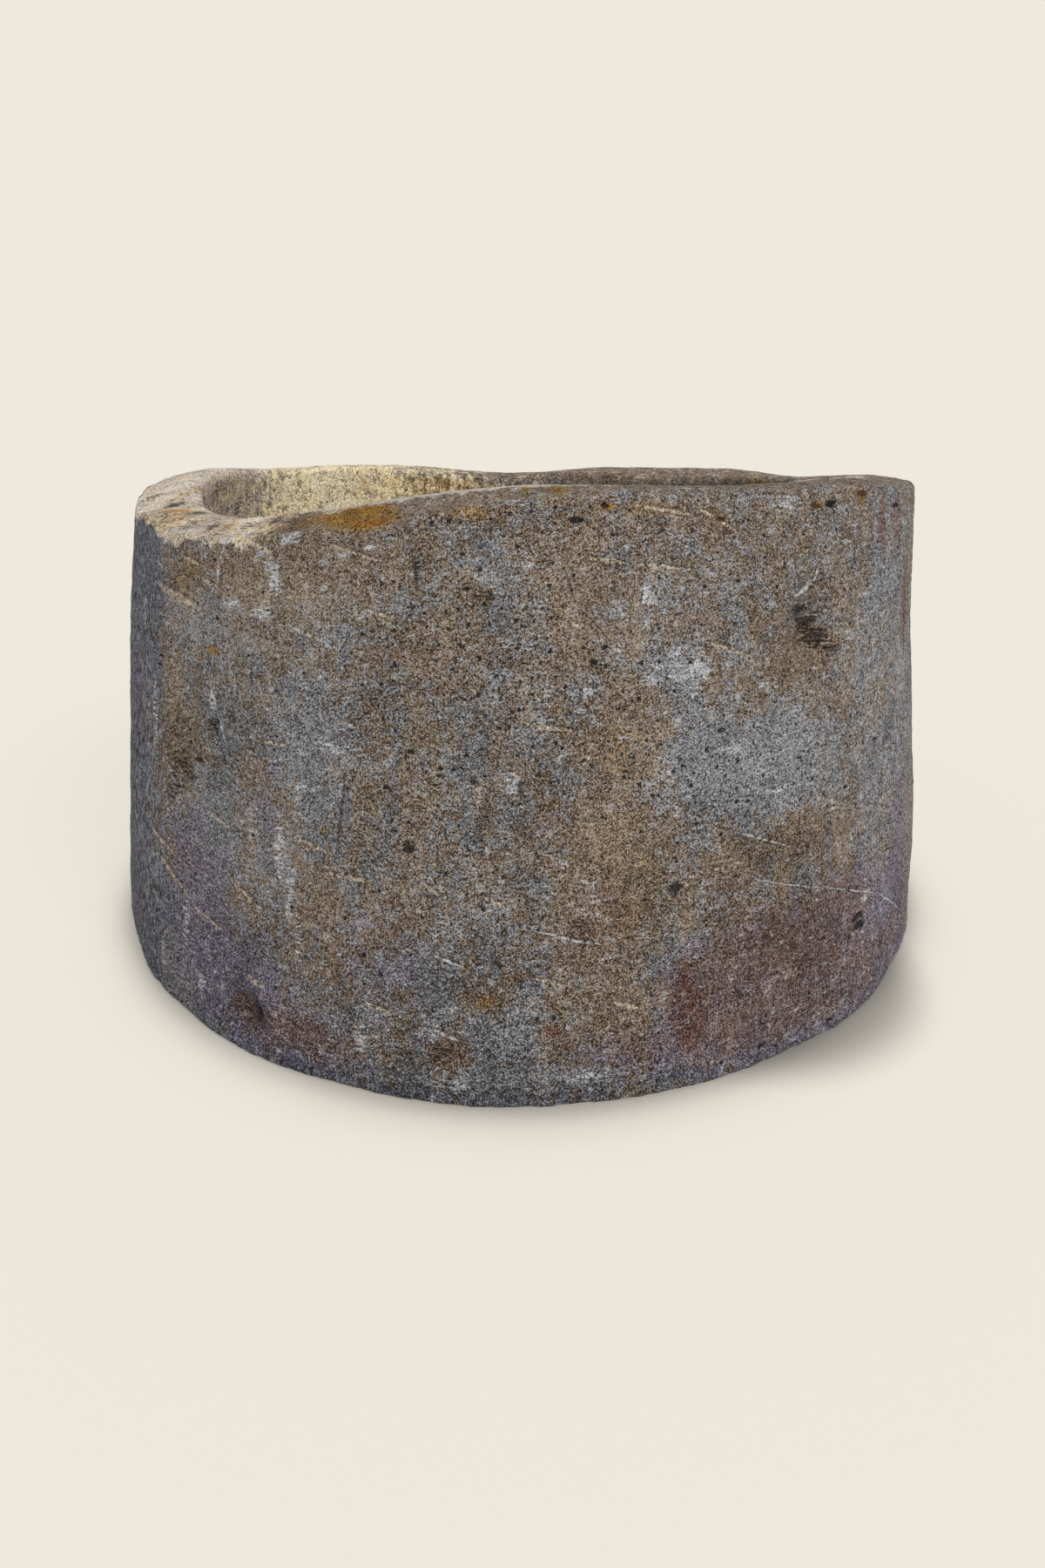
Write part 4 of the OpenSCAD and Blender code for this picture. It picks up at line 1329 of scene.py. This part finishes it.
def drain_stopper():
    """The rubber bung: a tapered plug, a lid, a neck and a knob, drawn out of one cylinder."""
    deselect_all()
    plug_r = SEAT_R - BUNG_GAP
    bottom = FLOOR_T - PLUG_DEPTH
    lid_z = FLOOR_T + BUNG_GAP
    bpy.ops.mesh.primitive_cylinder_add(
        vertices=64, radius=plug_r * MM, depth=(lid_z - bottom) * MM,
        location=(0, 0, (lid_z + bottom) / 2 * MM),
    )
    bung = bpy.context.object
    bung.name = "rubber_bung"
    bpy.ops.object.transform_apply(location=True, rotation=True, scale=True)
    bpy.ops.object.mode_set(mode="EDIT")

    def top(center, normal):
        return normal.z > 0.9 and center.z > highest(bung) - 0.1

    select_faces(bung, lambda c, n: n.z < -0.9)
    scale_selected((plug_r - PLUG_TAPER / 2) / plug_r)
    inset(PLUG_WALL)
    extrude_up(PLUG_HOLLOW)
    select_faces(bung, top)
    extrude_up()
    scale_selected(LID_R / plug_r)
    extrude_up(LID_T)
    inset(LID_BORDER)
    extrude_up(-LID_DISH)
    inset(LID_R - LID_BORDER - NECK_R - LID_BORDER)
    extrude_up(LID_DISH)
    inset(LID_BORDER)
    extrude_up(NECK_H)
    extrude_up()
    scale_selected(KNOB_R / NECK_R)
    extrude_up(KNOB_H * KNOB_SHOULDER)
    extrude_up(KNOB_H * (1 - KNOB_SHOULDER) - BOSS_H)
    scale_selected(KNOB_DRAW)
    inset(BOSS_BORDER)
    extrude_up(BOSS_H)
    bpy.ops.mesh.select_all(action="SELECT")
    bpy.ops.mesh.normals_make_consistent(inside=False)
    bpy.ops.object.mode_set(mode="OBJECT")

    edges = bung.modifiers.new("edges", "BEVEL")
    edges.width = BUNG_EDGE * MM
    edges.segments = 3
    edges.limit_method = "ANGLE"
    edges.angle_limit = math.radians(28)
    bpy.ops.object.modifier_apply(modifier=edges.name)
    bpy.ops.object.shade_smooth_by_angle(angle=math.radians(32))
    return bung


# The set

# The strength of the dome and of the lamp, and the lamp's height, turn and softness in degrees
DOME = 0.58
SUN = 2.0
SUN_HEIGHT = 42.0
SUN_TURN = 36.0
SUN_SPREAD = 24.0
# Width of the floor in metres
FLOOR_SPAN = 80.0
# How far the block's close shadow reaches over the floor, and how it leans
SHADE_REACH = 55.0
SHADE_LEAN = (0.0, 0.2, 1.0)
# The soft shadow past the right of the foot: its middle, and how far from there its fading starts and ends
CAST_AT = (138.0, -171.0, 0.0)
CAST_FADE = (88.0, 126.0)


def in_scene(data, place, turn):
    """A lamp or camera put in the scene at this place in millimetres, turned by these degrees."""
    holder = bpy.data.objects.new(data.name, data)
    bpy.context.scene.collection.objects.link(holder)
    holder.location = [c * MM for c in place]
    holder.rotation_euler = [math.radians(angle) for angle in turn]
    return holder


def studio():
    """A wide pale floor, an even dome of light, and a large soft lamp from the front right."""
    deselect_all()
    bpy.ops.mesh.primitive_plane_add(size=FLOOR_SPAN)
    floor = bpy.context.object
    floor.name = "floor"
    in_full_light = DOME + SUN / math.pi * math.sin(math.radians(SUN_HEIGHT))
    floor.data.materials.append(plain_floor(in_full_light))

    dome = Finish(bpy.data.worlds.new("dome"))
    bpy.context.scene.world = dome.owner
    light = dome.node("ShaderNodeBackground", {"Color": (1, 1, 1, 1), "Strength": DOME})
    backdrop = dome.node("ShaderNodeBackground", {"Color": (*BACKGROUND, 1), "Strength": 1.0})
    either = dome.node("ShaderNodeMixShader", {0: dome.seen(), 1: light, 2: backdrop})
    dome.node("ShaderNodeOutputWorld", {"Surface": either})

    lamp = bpy.data.lights.new("lamp", "SUN")
    lamp.energy = SUN
    lamp.angle = math.radians(SUN_SPREAD)
    in_scene(lamp, (0, 0, 0), (90 - SUN_HEIGHT, 0, SUN_TURN))


def photograph_camera():
    camera = bpy.data.cameras.new("camera")
    camera.sensor_width = SENSOR
    camera.lens = FOCAL_PX / FRAME_H_PX * SENSOR
    camera.shift_y = (HORIZON_PX - FRAME_H_PX / 2) / FRAME_H_PX
    camera.clip_start = 0.01
    camera.clip_end = 200
    bpy.context.scene.camera = in_scene(camera, (0, -CAMERA_BACK, EYE), (90, 0, 0))


photograph_camera()
studio()

block = stone_block()
block.data.materials.append(weathered_stone())
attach(block, "vessel")
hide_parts("stone_vessel")

stopper = drain_stopper()
stopper.data.materials.append(bung_rubber())
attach(stopper, "bung")
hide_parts("drain_bung")

bpy.context.scene.view_settings.view_transform = "Standard"
